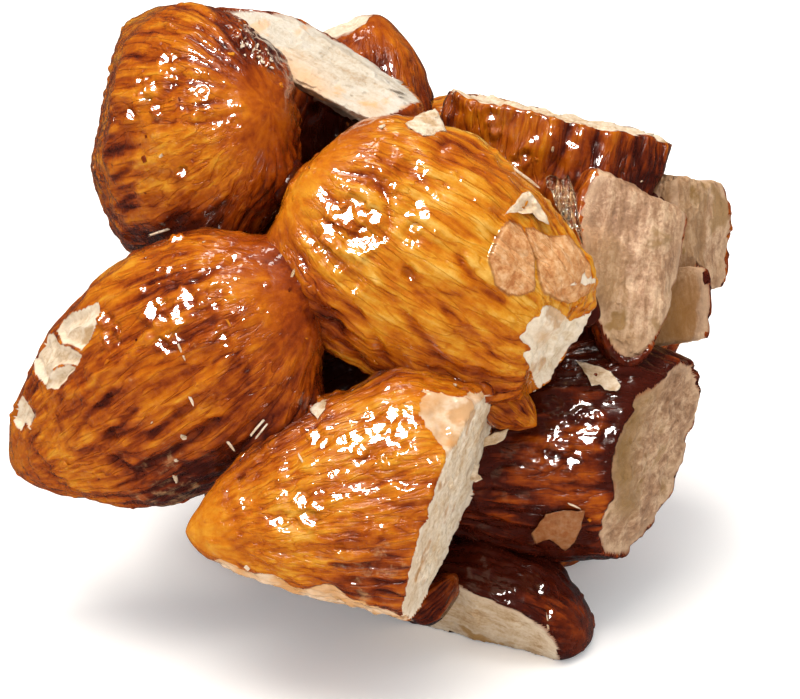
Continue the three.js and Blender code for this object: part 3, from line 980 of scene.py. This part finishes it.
# %% [markdown]
# ### Almond flesh
# Inside, an almond is cream when raw and tan when toasted, dry and fibrous, with a waxy bloom, and greyish
# white once it was blanched. The skin shows on a cut as a thin brown line round the rim, and inside that the
# flesh is palest. Caramel has soaked in here and there as olive brown patches, and where a cut was glazed it
# is wet and honey coloured, with cream showing through. Patches are 2.5 mm across, fibres 0.4 mm wide and
# 2 mm long, and grit 0.2 mm: the cells of the flesh are far finer, and are drawn as coarse as that to show.

# %% Flesh material
def almond_flesh(name, waxy, pale, middle, tan, soaked):
    """Torn or cut almond flesh, with the brown skin's edge where it is near the surface. waxy is 0 for dry,
    fibrous flesh and 1 for the smooth, moist flesh of a fresh break."""
    material, tree, shader = new_material(name)
    inside = add(tree, "Attribute", attribute_name="inside").outputs["Vector"]
    depth, wet, stain = (
        add(tree, "Attribute", attribute_name=key).outputs["Fac"] for key in ("depth", "wet", "stain")
    )
    along = add(tree, "Mapping", {"Vector": inside, "Scale": (0.3, 1.4, 1.4)})
    fibres = add(tree, "TexNoise", {"Vector": along, "Scale": 1.6, "Detail": 6, "Roughness": 0.65})
    patches = add(tree, "TexNoise", {"Vector": inside, "Scale": 0.4, "Detail": 4, "Roughness": 0.55})
    grit = add(tree, "TexNoise", {"Vector": inside, "Scale": 5.0, "Detail": 4, "Roughness": 0.7})
    mixed = add(tree, "Mix", {0: 0.5, 2: fibres, 3: patches})
    mixed = add(tree, "Math", {0: grit, 1: 0.35, 2: mixed}, **SCALED_AND_ADDED)
    near_skin = add(tree, "MapRange", {0: depth, 1: 0.3, 2: 1.2, 3: 0.5, 4: 0}, **EASED)
    soak = add(tree, "MapRange", {0: patches, 1: 0.58, 2: 0.66, 3: 0, 4: 0.75}, **EASED)
    soak = add(tree, "Math", {0: soak, 1: stain}, operation="ADD", use_clamp=True)
    rim = add(tree, "MapRange", {0: depth, 1: 0.05, 2: 0.4 - 0.2 * waxy, 3: 1, 4: 0}, **EASED)
    honey = add(tree, "MapRange", {0: patches, 1: 0.38, 2: 0.6, 3: 0.95, 4: 0.4}, **EASED)
    honey = add(tree, "Math", {0: wet, 1: honey}, **SCALED)
    colour = add(tree, "ValToRGB", {0: mixed}, ((0.53, tan), (0.65, middle), (0.77, pale))).outputs[0]
    for share, tint in ((near_skin, pale), (soak, soaked), (rim, "#8A4416"), (honey, "#C8925A")):
        colour = add(tree, "Mix", {0: share, 6: colour, 7: tint}, **COLOURS).outputs[2]
    height = add(tree, "Mix", {0: 0.45, 2: fibres, 3: grit})
    strength = add(tree, "Math", {0: wet, 1: -0.5, 2: 0.6}, **SCALED_AND_ADDED)
    deep = (0.4 - 0.25 * waxy) * MM
    dull, shiny = 0.62 - 0.15 * waxy, 0.36 - 0.06 * waxy
    rough = add(tree, "MapRange", {0: patches, 1: 0.4, 2: 0.7, 3: dull, 4: shiny}, **EASED)
    plug(tree, shader, {
        "Base Color": colour,
        "Normal": add(tree, "Bump", {"Height": height, "Strength": strength, "Distance": deep}),
        "Roughness": add(tree, "Math", {0: wet, 1: -0.38, 2: rough}, **SCALED_AND_ADDED),
        "IOR": 1.45,
    })
    return material


FLESH = {
    kind: almond_flesh(name, waxy, *colours)
    for kind, name, waxy, *colours in (
        ("fresh", "fresh_almond_flesh", 1, "#ECDDC8", "#DCC8AB", "#C3A27A", "#BA8A55"),
        ("pale", "cut_almond_flesh", 0, "#EADAC3", "#D6BC9B", "#AE885E", "#B58B55"),
        ("blanched", "blanched_almond_flesh", 0, "#D3CABD", "#C6B9A5", "#B2987A", "#DBAC7B"),
        ("toasted", "toasted_almond_flesh", 0, "#D2AF8C", "#A97F5C", "#825C3E", "#96703F"),
        ("soaked", "caramel_soaked_almond_flesh", 0, "#D2AF8C", "#A97F5C", "#825C3E", "#956326"),
    )
}
print(len(SKINS), "skins and", len(FLESH), "kinds of flesh")

# %% [markdown]
# ## Make the nuts
# Each face takes the skin or the flesh by how deep its corners lie. The change falls inside the brown rim
# that both materials share, so the steps of the grid don't show. The five big nuts of the face get the most
# points, about one to each tenth of a millimetre.

# %% Nuts
ROWS = {"big": (320, 280), "small": (190, 170), "back": (170, 150), "loose": (56, 50)}


def make_nut(nut):
    """One nut as a piece. It stands for its node, unless it is a loose lump that has none."""
    loose = "slot" in nut
    size = "loose" if loose else "big" if nut["name"] in BIG else "back" if nut["name"] in BACK else "small"
    points, values = nut_points(nut, *ROWS[size])
    faces = grid_faces(*ROWS[size])
    deep = values["depth"] > SKIN_DEPTH
    slots = np.concatenate([deep[group].mean(1) > 0.5 for group in faces])
    finishes = SKINS[nut["skin"]], FLESH[nut["flesh"]]
    piece = make_piece(nut["name"] + "_nut", to_frame(points), faces, finishes, values, slots)
    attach(piece, "root")
    if not loose:
        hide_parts(nut["name"])
    return piece


for nut in NUTS:
    nut["piece"] = make_nut(nut)
print(sum(len(nut["piece"].data.polygons) for nut in NUTS), "faces in", len(NUTS), "nuts")

# %% [markdown]
# ## Lumps of caramel and scraps of nut
# Where caramel ran down and took a scrap of nut with it, a lump set in the gap. A lump is shaped like a small
# nut without a tip to speak of, so the same steps make it.

# %% Lumps
LUMPS = [
    dict(name="lump_inside", skin="burnt", slot="burnt_caramel", more=0.1,
         size=(11, 7, 5), at=(-2.6, 6.0, -0.4), turn=(10, 0, 0)),
    dict(name="lump_under_centre", skin="amber", slot="amber_caramel", more=0.15,
         size=(4.4, 3.5, 3.0), at=(5.9, -3.1, 5.6), turn=(-35, 10, 20)),
    dict(name="scrap_under_front", skin="burnt", slot="burnt_caramel", more=0.1,
         size=(3.4, 2.2, 2.6), at=(1.9, -13.6, 2.9), turn=(45, 0, 0)),
    # This lump's burnt, thick caramel is painted shade: it fills a gap that shows dark from the front.
    dict(name="lump_behind_front", skin="burnt", slot="burnt_caramel", more=0.3,
         size=(8, 5.5, 3.8), at=(-2.0, -5.0, 2.5), turn=(10, 0, 0)),
]
for number, lump in enumerate(LUMPS):
    lump.update(flesh="pale", cuts=[], seed=200 + number)
    lump.update(matrix=turned(lump["turn"]), at=np.array(lump["at"], float))
    make_nut(lump)
print(len(LUMPS), "lumps")

# %% [markdown]
# ## Many small pieces in one mesh
# Plugs, slivers and crumbs are each a crowd of one small shape. An object for each would be slow, so a crowd
# is one mesh: all copies are turned and stretched at once, and share one grid whose numbers are moved on.

# %% Balls, frames and copies
def ball(rows, columns):
    """A unit ball as the same kind of grid: x is -cos of the row's angle, round it a circle of its sin."""
    turn = math.pi * np.arange(1, rows)[:, None] / rows
    angle = 2 * math.pi * np.arange(columns) / columns
    x = -np.cos(turn) * np.ones(columns)
    points = np.stack((x, np.sin(turn) * np.cos(angle), np.sin(turn) * np.sin(angle)), -1)
    return np.vstack(((-1, 0, 0), points.reshape(-1, 3), (1, 0, 0)))


def frames(along, out):
    """Three square ways for each piece, as rows: along, across and out, with along made square to out."""
    across = np.cross(out, along)
    across /= np.linalg.norm(across, axis=-1, keepdims=True)
    return np.stack((np.cross(across, out), across, out), -2)


def copies(grid, shape, corners):
    """The faces of many pieces that share a grid: those of the first, with its numbers moved on for each."""
    step = shape.shape[-2] * np.arange(len(corners))[:, None, None]
    return [(group + step).reshape(-1, group.shape[1]) for group in grid_faces(*grid)]


print("a unit ball spans", np.ptp(ball(*COARSE), axis=0).round(2))

# %% Pieces that stand for no node
PLAIN = dict(thick=0.0, fade=0.0, haze=0.0, husk=0.0, wet=0.0, stain=0.0, flat=0.0, depth=1.0)


def plain_values(points, **others):
    """What the materials read, for a piece that is the same all over."""
    everywhere = {key: np.full(len(points), value) for key, value in (PLAIN | others).items()}
    return {"inside": points, "grain": points} | everywhere


def loose_piece(name, points, faces, material, slot, rounded=True, **values):
    """A piece that stands for no node of its own, from points in the cluster's frame."""
    values = plain_values(points, **values)
    piece = make_piece(name, to_frame(points), faces, [material], values, rounded=rounded)
    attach(piece, "root")
    return piece


print("such a piece is plain in", ", ".join(PLAIN))

# %% [markdown]
# ## Caramel between the nuts
# What holds the lump together is a plug of caramel wherever two nuts come close. For each pair the point of
# one that is least far outside the other gives the place and the way across. A plug is a flat, uneven ball,
# set a little behind that place, because on the face of the lump a dark gap shows between most of the nuts.

# %% Plugs
BRIDGED = 0.9
BEHIND = np.array((0, 0, 0.8))
PLUG_GRID = (20, 26)


def plug_sites():
    """The place, the way across and the gap of each pair of nuts that come close."""
    found = []
    for number, nut in enumerate(NUTS):
        points, ways = nut["points"][::23], nut["ways"][::23]
        for other in NUTS[number + 1:]:
            far = outside(other, points)
            nearest = int(far.argmin())
            if far[nearest] < BRIDGED:
                middle = points[nearest] + ways[nearest] * far[nearest] / 2 - BEHIND
                found.append((middle, ways[nearest], max(far[nearest], 0)))
    return [np.array(values) for values in zip(*found)]


rng = np.random.default_rng(61)
sites, across, gaps = plug_sites()
radii = np.stack((rng.uniform(0.8, 1.5, len(sites)), rng.uniform(0.8, 1.5, len(sites)), gaps / 2 + 0.4), 1)
turns = frames(rng.normal(size=sites.shape), across)
shape = ball(*PLUG_GRID)
points = np.einsum("nij,njk->nik", shape * radii[:, None], turns) + sites[:, None]
faces = copies(PLUG_GRID, shape, sites)
points = points.reshape(-1, 3)
points += 0.25 * np.stack([noise(points / 1.3, 70 + axis) for axis in range(3)], 1)
points -= np.minimum(points @ UP - FLOOR, 0)[:, None] * UP
loose_piece("caramel_between_nuts", points, faces, SKINS["caramel"], "caramel", thick=0.4)
print(len(sites), "plugs of caramel")

# %% [markdown]
# ## Flakes
# A flake is a sheet with an outline of its own, so its grid is the outline drawn smaller and smaller towards
# its middle, and back out again underneath. It lies on the nut below, whose height it takes from the nearest
# points of that nut's face, and it crumples a little.

# %% The height of a face
NEAR = 0.15


def face_height(rest, spots):
    """z under each x, y: a mean of the finished points of a nut's face, each weighted by exp(-gap^2 / NEAR),
    or where rest is three numbers, a plane: its z at x = y = 0, and its slopes along x and y."""
    if not isinstance(rest, str):
        return rest[0] + spots @ np.array(rest[1:])
    nut = next(nut for nut in NUTS if nut["name"] == rest)
    low, high = spots.min(0) - 1.5, spots.max(0) + 1.5
    points = nut["points"]
    face = (nut["ways"][:, 2] > 0) & ((points[:, :2] > low) & (points[:, :2] < high)).all(1)
    points = points[face][::2]
    gap = ((spots[:, None] - points[:, :2]) ** 2).sum(-1)
    weight = np.exp(-(gap - gap.min(1, keepdims=True)) / NEAR)
    return (weight * points[:, 2]).sum(1) / weight.sum(1)


middle = face_height(TRIED["name"], TRIED["at"][None, :2])[0]
print("the middle of the face of", TRIED["name"], "is at z =", middle.round(1), "mm")

# %% A flake
FLAKE_GRID = (28, 96)


def flake(name, outline, rest, finish, slot,
          thick=0.2, curl=0.1, crumple=0.08, ribs=0.0, lift=0.05, **values):
    """A closed sheet of that thickness. curl lifts its edge, as the square of how far out a point is,
    crumple is the height of its dents, and ribs is the depth of the grooves that run down it."""
    outline = np.array(outline)
    ahead = np.roll(outline, -1, 0)
    if (outline[:, 0] * ahead[:, 1] - outline[:, 1] * ahead[:, 0]).sum() > 0:
        outline = outline[::-1]
    closed = np.vstack((outline, outline[:1]))
    run = np.concatenate(((0,), np.linalg.norm(np.diff(closed, axis=0), axis=1).cumsum()))
    rows, columns = FLAKE_GRID
    at = np.arange(columns) * run[-1] / columns
    edge = np.stack([np.interp(at, run, closed[:, axis]) for axis in range(2)], 1)
    fray = np.stack([noise(np.c_[edge, edge[:, 0]] / 0.4, 80 + axis) for axis in range(2)], 1)
    middle = outline.mean(0)
    edge = edge + 0.06 * fray
    share = 1 - np.abs(2 * np.arange(1, rows) / rows - 1)
    side = np.sign(rows / 2 - np.arange(1, rows))
    spots = (middle + share[:, None, None] * (edge - middle)).reshape(-1, 2)
    share, side = np.repeat(share, columns), np.repeat(side, columns)
    spots = np.vstack((middle, spots, middle))
    share, side = np.concatenate(((0,), share, (0,))), np.concatenate(((1,), side, (-1,)))
    flat = np.c_[spots, np.full(len(spots), len(name))]
    height = face_height(rest, spots) + lift + curl * share**2 + crumple * layered(flat / 0.7, 81, 3)
    groove = np.abs(np.sin(spots[:, 0] * 7 + 1.5 * noise(flat * (1.5, 0.4, 1), 82)))
    height += ribs * groove
    body = side * thick / 2 * np.sqrt(1 - share**4)
    return loose_piece(name, np.c_[spots, height + body], grid_faces(rows, columns), finish, slot, **values)


# %% [markdown]
# ### Clear sugar
# A little sugar set by itself as a fan of clear ribs. Light goes through it, so it needs transmission, with
# ripples 0.4 mm across in its surface, because glass without them would hardly show.

# %% Clear sugar
def clear_sugar():
    """Hard sugar with no colour to speak of: clear glass, IOR 1.5, faintly amber in the thick of it."""
    material, tree, shader = new_material("clear_hard_sugar")
    inside = add(tree, "Attribute", attribute_name="inside").outputs["Vector"]
    ripples = add(tree, "TexNoise", {"Vector": inside, "Scale": 2.5, "Detail": 2})
    plug(tree, shader, {
        "Base Color": add(tree, "ValToRGB", {0: ripples}, ((0.35, "#B98A4C"), (0.6, "#F7E9CC"))),
        "Normal": add(tree, "Bump", {"Height": ripples, "Distance": 0.15 * MM}),
        "Transmission Weight": 1.0,
        "Roughness": 0.04,
        "IOR": 1.5,
    })
    return material


CLEAR = clear_sugar()
print(CLEAR.name, "has", len(CLEAR.node_tree.nodes), "nodes")

# %% [markdown]
# ### Lay the flakes
# Each has its outline on the face, the nut or the plane that it rests on, and what sets it apart from a
# plain flake.

# %% Flakes
FLAKES = [
    dict(name="flake_on_centre_top", rest="almond_centre", finish=FLESH["pale"], slot="almond_flesh",
         thick=0.8, curl=0, crumple=0.2, lift=0.35,
         outline=[(0.3, 12.1), (1.1, 12.7), (1.9, 13.0), (2.2, 12.5), (2.5, 11.7), (2.0, 11.6), (1.8, 11.4),
                  (1.2, 11.4), (0.8, 11.6), (0.4, 11.8)]),
    dict(name="crumpled_sugar", rest="almond_centre", finish=FLESH["fresh"], slot="almond_flesh",
         thick=0.12, curl=0.2, crumple=0.35, lift=0.3, wet=0.3,
         outline=[(5.6, 7.2), (6.0, 7.7), (6.5, 8.3), (6.9, 8.5), (7.3, 8.0), (7.8, 7.3), (8.0, 6.7),
                  (7.4, 6.9), (7.1, 7.3), (6.7, 7.2), (6.2, 7.3)]),
    dict(name="ribs_of_sugar", rest=(7.3, 0.15, -0.33), finish=CLEAR, slot="amber_caramel",
         thick=0.4, curl=0, ribs=0.3,
         outline=[(7.9, 9.3), (8.1, 9.5), (8.5, 9.4), (8.8, 9.2), (9.1, 9.5), (9.3, 9.1), (9.5, 8.4),
                  (9.6, 7.6), (9.8, 6.5), (9.9, 5.6), (9.7, 5.9), (9.5, 6.6), (9.2, 6.5), (8.9, 7.0),
                  (8.6, 7.5), (8.4, 7.9), (8.2, 8.6), (7.9, 8.9)]),
    dict(name="flake_under_centre", rest="almond_lower_right", finish=FLESH["pale"], slot="almond_flesh",
         curl=0.3,
         outline=[(9.7, -0.6), (10.9, -0.9), (11.6, -1.3), (12.1, -2.0), (11.8, -2.3), (11.2, -2.2),
                  (10.9, -1.9), (10.5, -2.0), (10.2, -1.4)]),
    dict(name="flake_on_front", rest="almond_front", finish=FLESH["pale"], slot="almond_flesh", thick=0.25,
         outline=[(-4.9, -3.1), (-3.9, -2.6), (-4.0, -3.2), (-4.4, -3.7)]),
    dict(name="husk_on_lower_right", rest="almond_lower_right", finish=SKINS["burnt"], slot="burnt_caramel",
         thick=0.12, crumple=0.12, lift=0.25, husk=0.65,
         outline=[(8.0, -9.0), (9.0, -8.8), (10.1, -8.8), (9.9, -9.8), (9.6, -10.6), (9.1, -11.1),
                  (8.2, -10.4), (7.4, -10.7), (7.2, -10.1)]),
    dict(name="flake_by_the_cut", rest=(6.2, 0, 0), finish=FLESH["pale"], slot="almond_flesh", crumple=0.2,
         outline=[(3.8, -7.1), (4.0, -6.2), (4.3, -6.2), (4.2, -6.7), (4.5, -7.0), (4.1, -7.2)]),
    dict(name="flake_by_the_lump", rest=(6.3, 0, 0), finish=FLESH["pale"], slot="almond_flesh",
         thick=0.3, stain=0.4,
         outline=[(4.5, -5.3), (4.6, -4.8), (5.1, -4.5), (5.9, -4.3), (5.6, -4.9), (5.2, -5.1)]),
]
for each in FLAKES:
    flake(**each)
print(len(FLAKES), "flakes")

# %% [markdown]
# ## Slivers and crumbs
# Chopping leaves slivers and crumbs, and the caramel catches them. Each is a small ball of a few dozen faces
# with its corners shifted, stretched and laid on the nut. Slivers lie where they are told to, by their two
# ends. Crumbs fall at random: some in a line beside the slice, and the rest all over, most of them near the
# gaps between nuts. The square of a random number makes many small ones and few large ones.

# %% Bits
BIT_GRID = (5, 7)


def bits(name, sites, along, out, sizes, finish, slot, seed):
    """Many small angular pieces as one mesh, each with half sizes along, across and out."""
    rng = np.random.default_rng(seed)
    shape = ball(*BIT_GRID)
    shape = np.sign(shape) * np.abs(shape) ** 0.6
    shifted = shape * rng.uniform(0.65, 1.25, (len(sites), len(shape), 1))
    points = np.einsum("nij,njk->nik", shifted * sizes[:, None], frames(along, out)) + sites[:, None]
    faces = copies(BIT_GRID, shape, sites)
    return loose_piece(name, points.reshape(-1, 3), faces, finish, slot, rounded=False)


print("a bit has", sum(map(len, grid_faces(*BIT_GRID))), "faces")

# %% Slivers
SLIVERS = [
    ("almond_left", (-7.9, -4.5), (-6.6, -3.0), 0.07), ("almond_left", (-7.6, -4.6), (-6.4, -3.1), 0.06),
    ("almond_left", (-11.4, -2.1), (-11.0, -3.0), 0.08), ("almond_left", (-11.8, 0.3), (-11.4, -0.6), 0.06),
    ("almond_left", (-9.5, -4.5), (-9.0, -5.3), 0.07), ("almond_left", (-12.2, -6.6), (-12.1, -7.1), 0.12),
    ("almond_left", (-6.1, 3.0), (-5.6, 4.3), 0.07), ("almond_upper_left", (-13.2, 6.3), (-11.8, 6.9), 0.07),
    ("almond_centre", (5.9, 9.9), (7.4, 8.8), 0.07), ("almond_front", (-5.4, -5.6), (-4.9, -6.3), 0.06),
    ("almond_lower_right", (9.2, -8.4), (9.9, -8.7), 0.07), ("almond_foot", (8.0, -14.4), (8.1, -15.3), 0.08),
]
ends = np.array([[start, stop] for _, start, stop, _ in SLIVERS])
heights = np.array([face_height(name, np.array((start, stop))) for name, start, stop, _ in SLIVERS])
ends = np.concatenate((ends, heights[..., None] + 0.05), -1)
along = ends[:, 1] - ends[:, 0]
half = np.linalg.norm(along, axis=1) / 2
wide = np.array([width for *_, width in SLIVERS])
out = np.tile((0.1, 0.1, 1.0), (len(half), 1))
thin = np.stack((half, wide, 0.7 * wide), 1)
bits("slivers", ends.mean(1), along, out, thin, FLESH["pale"], "almond_flesh", 62)
print(len(SLIVERS), "slivers")

# %% Crumbs beside the slice
BESIDE = 60
BESIDE_ENDS = np.array(((-9.0, 17.5), (-7.0, 15.3)))

rng = np.random.default_rng(64)
share = rng.random((BESIDE, 1))
spots = BESIDE_ENDS[0] * (1 - share) + BESIDE_ENDS[1] * share + rng.normal(0, 0.2, (BESIDE, 2))
sites = np.c_[spots, face_height("almond_upper_left", spots) + 0.1]
bits("crumbs_beside_the_slice", sites, rng.normal(size=(BESIDE, 3)), np.tile((0.1, 0.4, 1.0), (BESIDE, 1)),
     0.04 + 0.11 * rng.random((BESIDE, 3)) ** 2, FLESH["fresh"], "almond_flesh", 65)
print(BESIDE, "crumbs beside the slice")

# %% Crumbs all over
CRUMBS = (
    ("pale_crumbs", 110, 0.05, 0.16, FLESH["pale"], "almond_flesh"),
    ("brown_crumbs", 90, 0.05, 0.16, SKINS["burnt"], "burnt_caramel"),
    ("amber_crumbs", 90, 0.06, 0.18, SKINS["amber"], "amber_caramel"),
)

rng = np.random.default_rng(63)
everywhere, ways, areas, gaps, depths = (
    np.concatenate([nut[key] for nut in NUTS]) for key in ("points", "ways", "areas", "gap", "depth")
)
chance = areas * (gaps > 0.5) * (0.12 + np.exp(-gaps)) * (everywhere @ UP > FLOOR + 0.5) * (depths < 0.05)
for name, count, small, large, finish, slot in CRUMBS:
    chosen = rng.choice(len(chance), count, p=chance / chance.sum())
    size = small + (large - small) * rng.random(count) ** 2
    shape_of = size[:, None] * rng.uniform((1, 0.6, 0.4), (2.2, 1.1, 0.8), (count, 3))
    bits(name, everywhere[chosen] + 0.03 * ways[chosen], rng.normal(size=(count, 3)), ways[chosen], shape_of,
         finish, slot, int(rng.integers(1000)))
print(sum(count for _, count, *_ in CRUMBS), "crumbs all over")

# %% [markdown]
# ## The studio
# The lump stands on a white table that glows a little, which paints light into the shadow under the lump.
# One small softbox above the front left makes the hard bright spots on the glaze, and only those, so it casts
# no hard shadow. A broad one overhead makes the soft shadow under the lump. The shade is filled by a pale sky
# that the gloss hardly sees, as in a studio with dark walls, because a bright room all round would lay a grey
# veil over the caramel. The table's own unevenness, 25 mm across, is hardly seen.

# %% Floor
REACH = 3

floor_mesh = bpy.data.meshes.new("floor")
corners = [(-REACH, -REACH, 0), (REACH, -REACH, 0), (REACH, REACH, 0), (-REACH, REACH, 0)]
floor_mesh.from_pydata(corners, [], [(0, 1, 2, 3)])
floor = bpy.data.objects.new("floor", floor_mesh)
bpy.context.scene.collection.objects.link(floor)
white, tree, shader = new_material("white_table")
dust = add(tree, "TexNoise", {"Vector": add(tree, "TexCoord").outputs["Object"], "Scale": 40})
plug(tree, shader, {
    "Base Color": add(tree, "ValToRGB", {0: dust}, ((0, "#F6F5F4"), (1, "#FAFAFA"))),
    "Roughness": 0.8,
    "Specular IOR Level": 0.1,
    # The table glows a little, though it is no lamp: painted light that lifts the shadow under the lump.
    "Emission Color": (1, 1, 1, 1),
    "Emission Strength": 0.2,
})
floor_mesh.materials.append(white)
floor.visible_glossy = False
print("the floor is", 2 * REACH, "m wide")


# %% Lamps
def softbox(name, place, side, watts, colour="#FFFFFF"):
    """A square area lamp at a place in the cluster's frame in millimetres, aimed at its middle."""
    lamp = bpy.data.lights.new(name, "AREA")
    lamp.color = linear(colour)[:3]
    lamp.shape = "SQUARE"
    lamp.size = side * MM
    lamp.energy = watts
    holder = bpy.data.objects.new(name, lamp)
    place, aim = Vector(to_frame(np.array(place, float))), Vector(to_frame(np.zeros(3)))
    holder.location = place
    holder.rotation_euler = (aim - place).to_track_quat("-Z", "Y").to_euler()
    bpy.context.scene.collection.objects.link(holder)
    return holder


LAMP_AWAY = 415
key = softbox("key", LAMP_AWAY * LAMP_WAY / np.linalg.norm(LAMP_WAY), 95, 4.2, "#FFFAF2")
key.visible_diffuse = False
softbox("top", (-60, 420, 60), 90, 0.3, "#FFFAF2")
soft = softbox("soft", (-80, 385, 210), 300, 2.0, "#FFF8EE")
soft.visible_glossy = False
fill = softbox("fill", (20, 260, 480), 760, 1.1)
fill.visible_glossy = False
print(len(bpy.data.lights), "lamps")

# %% Sky
world = bpy.data.worlds.new("studio")
world.use_nodes = True
sky = world.node_tree
mirrored = add(sky, "LightPath").outputs["Is Glossy Ray"]
strength = add(sky, "Math", {0: mirrored, 1: -0.5, 2: 0.55}, **SCALED_AND_ADDED)
plug(sky, sky.nodes["Background"], {"Strength": strength, "Color": (1, 1, 1, 1)})
bpy.context.scene.world = world
bpy.context.scene.view_settings.view_transform = "Standard"
print("the sky is", round(strength.inputs[2].default_value, 2), "as bright as white, and dimmer in the gloss")

# %% [markdown]
# ## The camera
# It looks straight at the face of the lump, so it looks down by LEAN, and its long lens is near enough for
# the front nuts to loom a little larger than those behind. Depth of field stays off.

# %% Camera
CAMERA_AWAY = 246.9
LENS = 200
SENSOR = 36

lens = bpy.data.cameras.new("camera")
lens.lens = LENS
lens.sensor_width = SENSOR
lens.clip_start = 0.01
camera = bpy.data.objects.new("camera", lens)
camera.location = Vector(to_frame(np.array((0.0, 0.0, CAMERA_AWAY))))
camera.rotation_euler = (math.pi / 2 - LEAN, 0, 0)
bpy.context.scene.collection.objects.link(camera)
bpy.context.scene.camera = camera
print("the view is", round(CAMERA_AWAY * SENSOR / LENS, 1), "mm wide at the lump's middle")
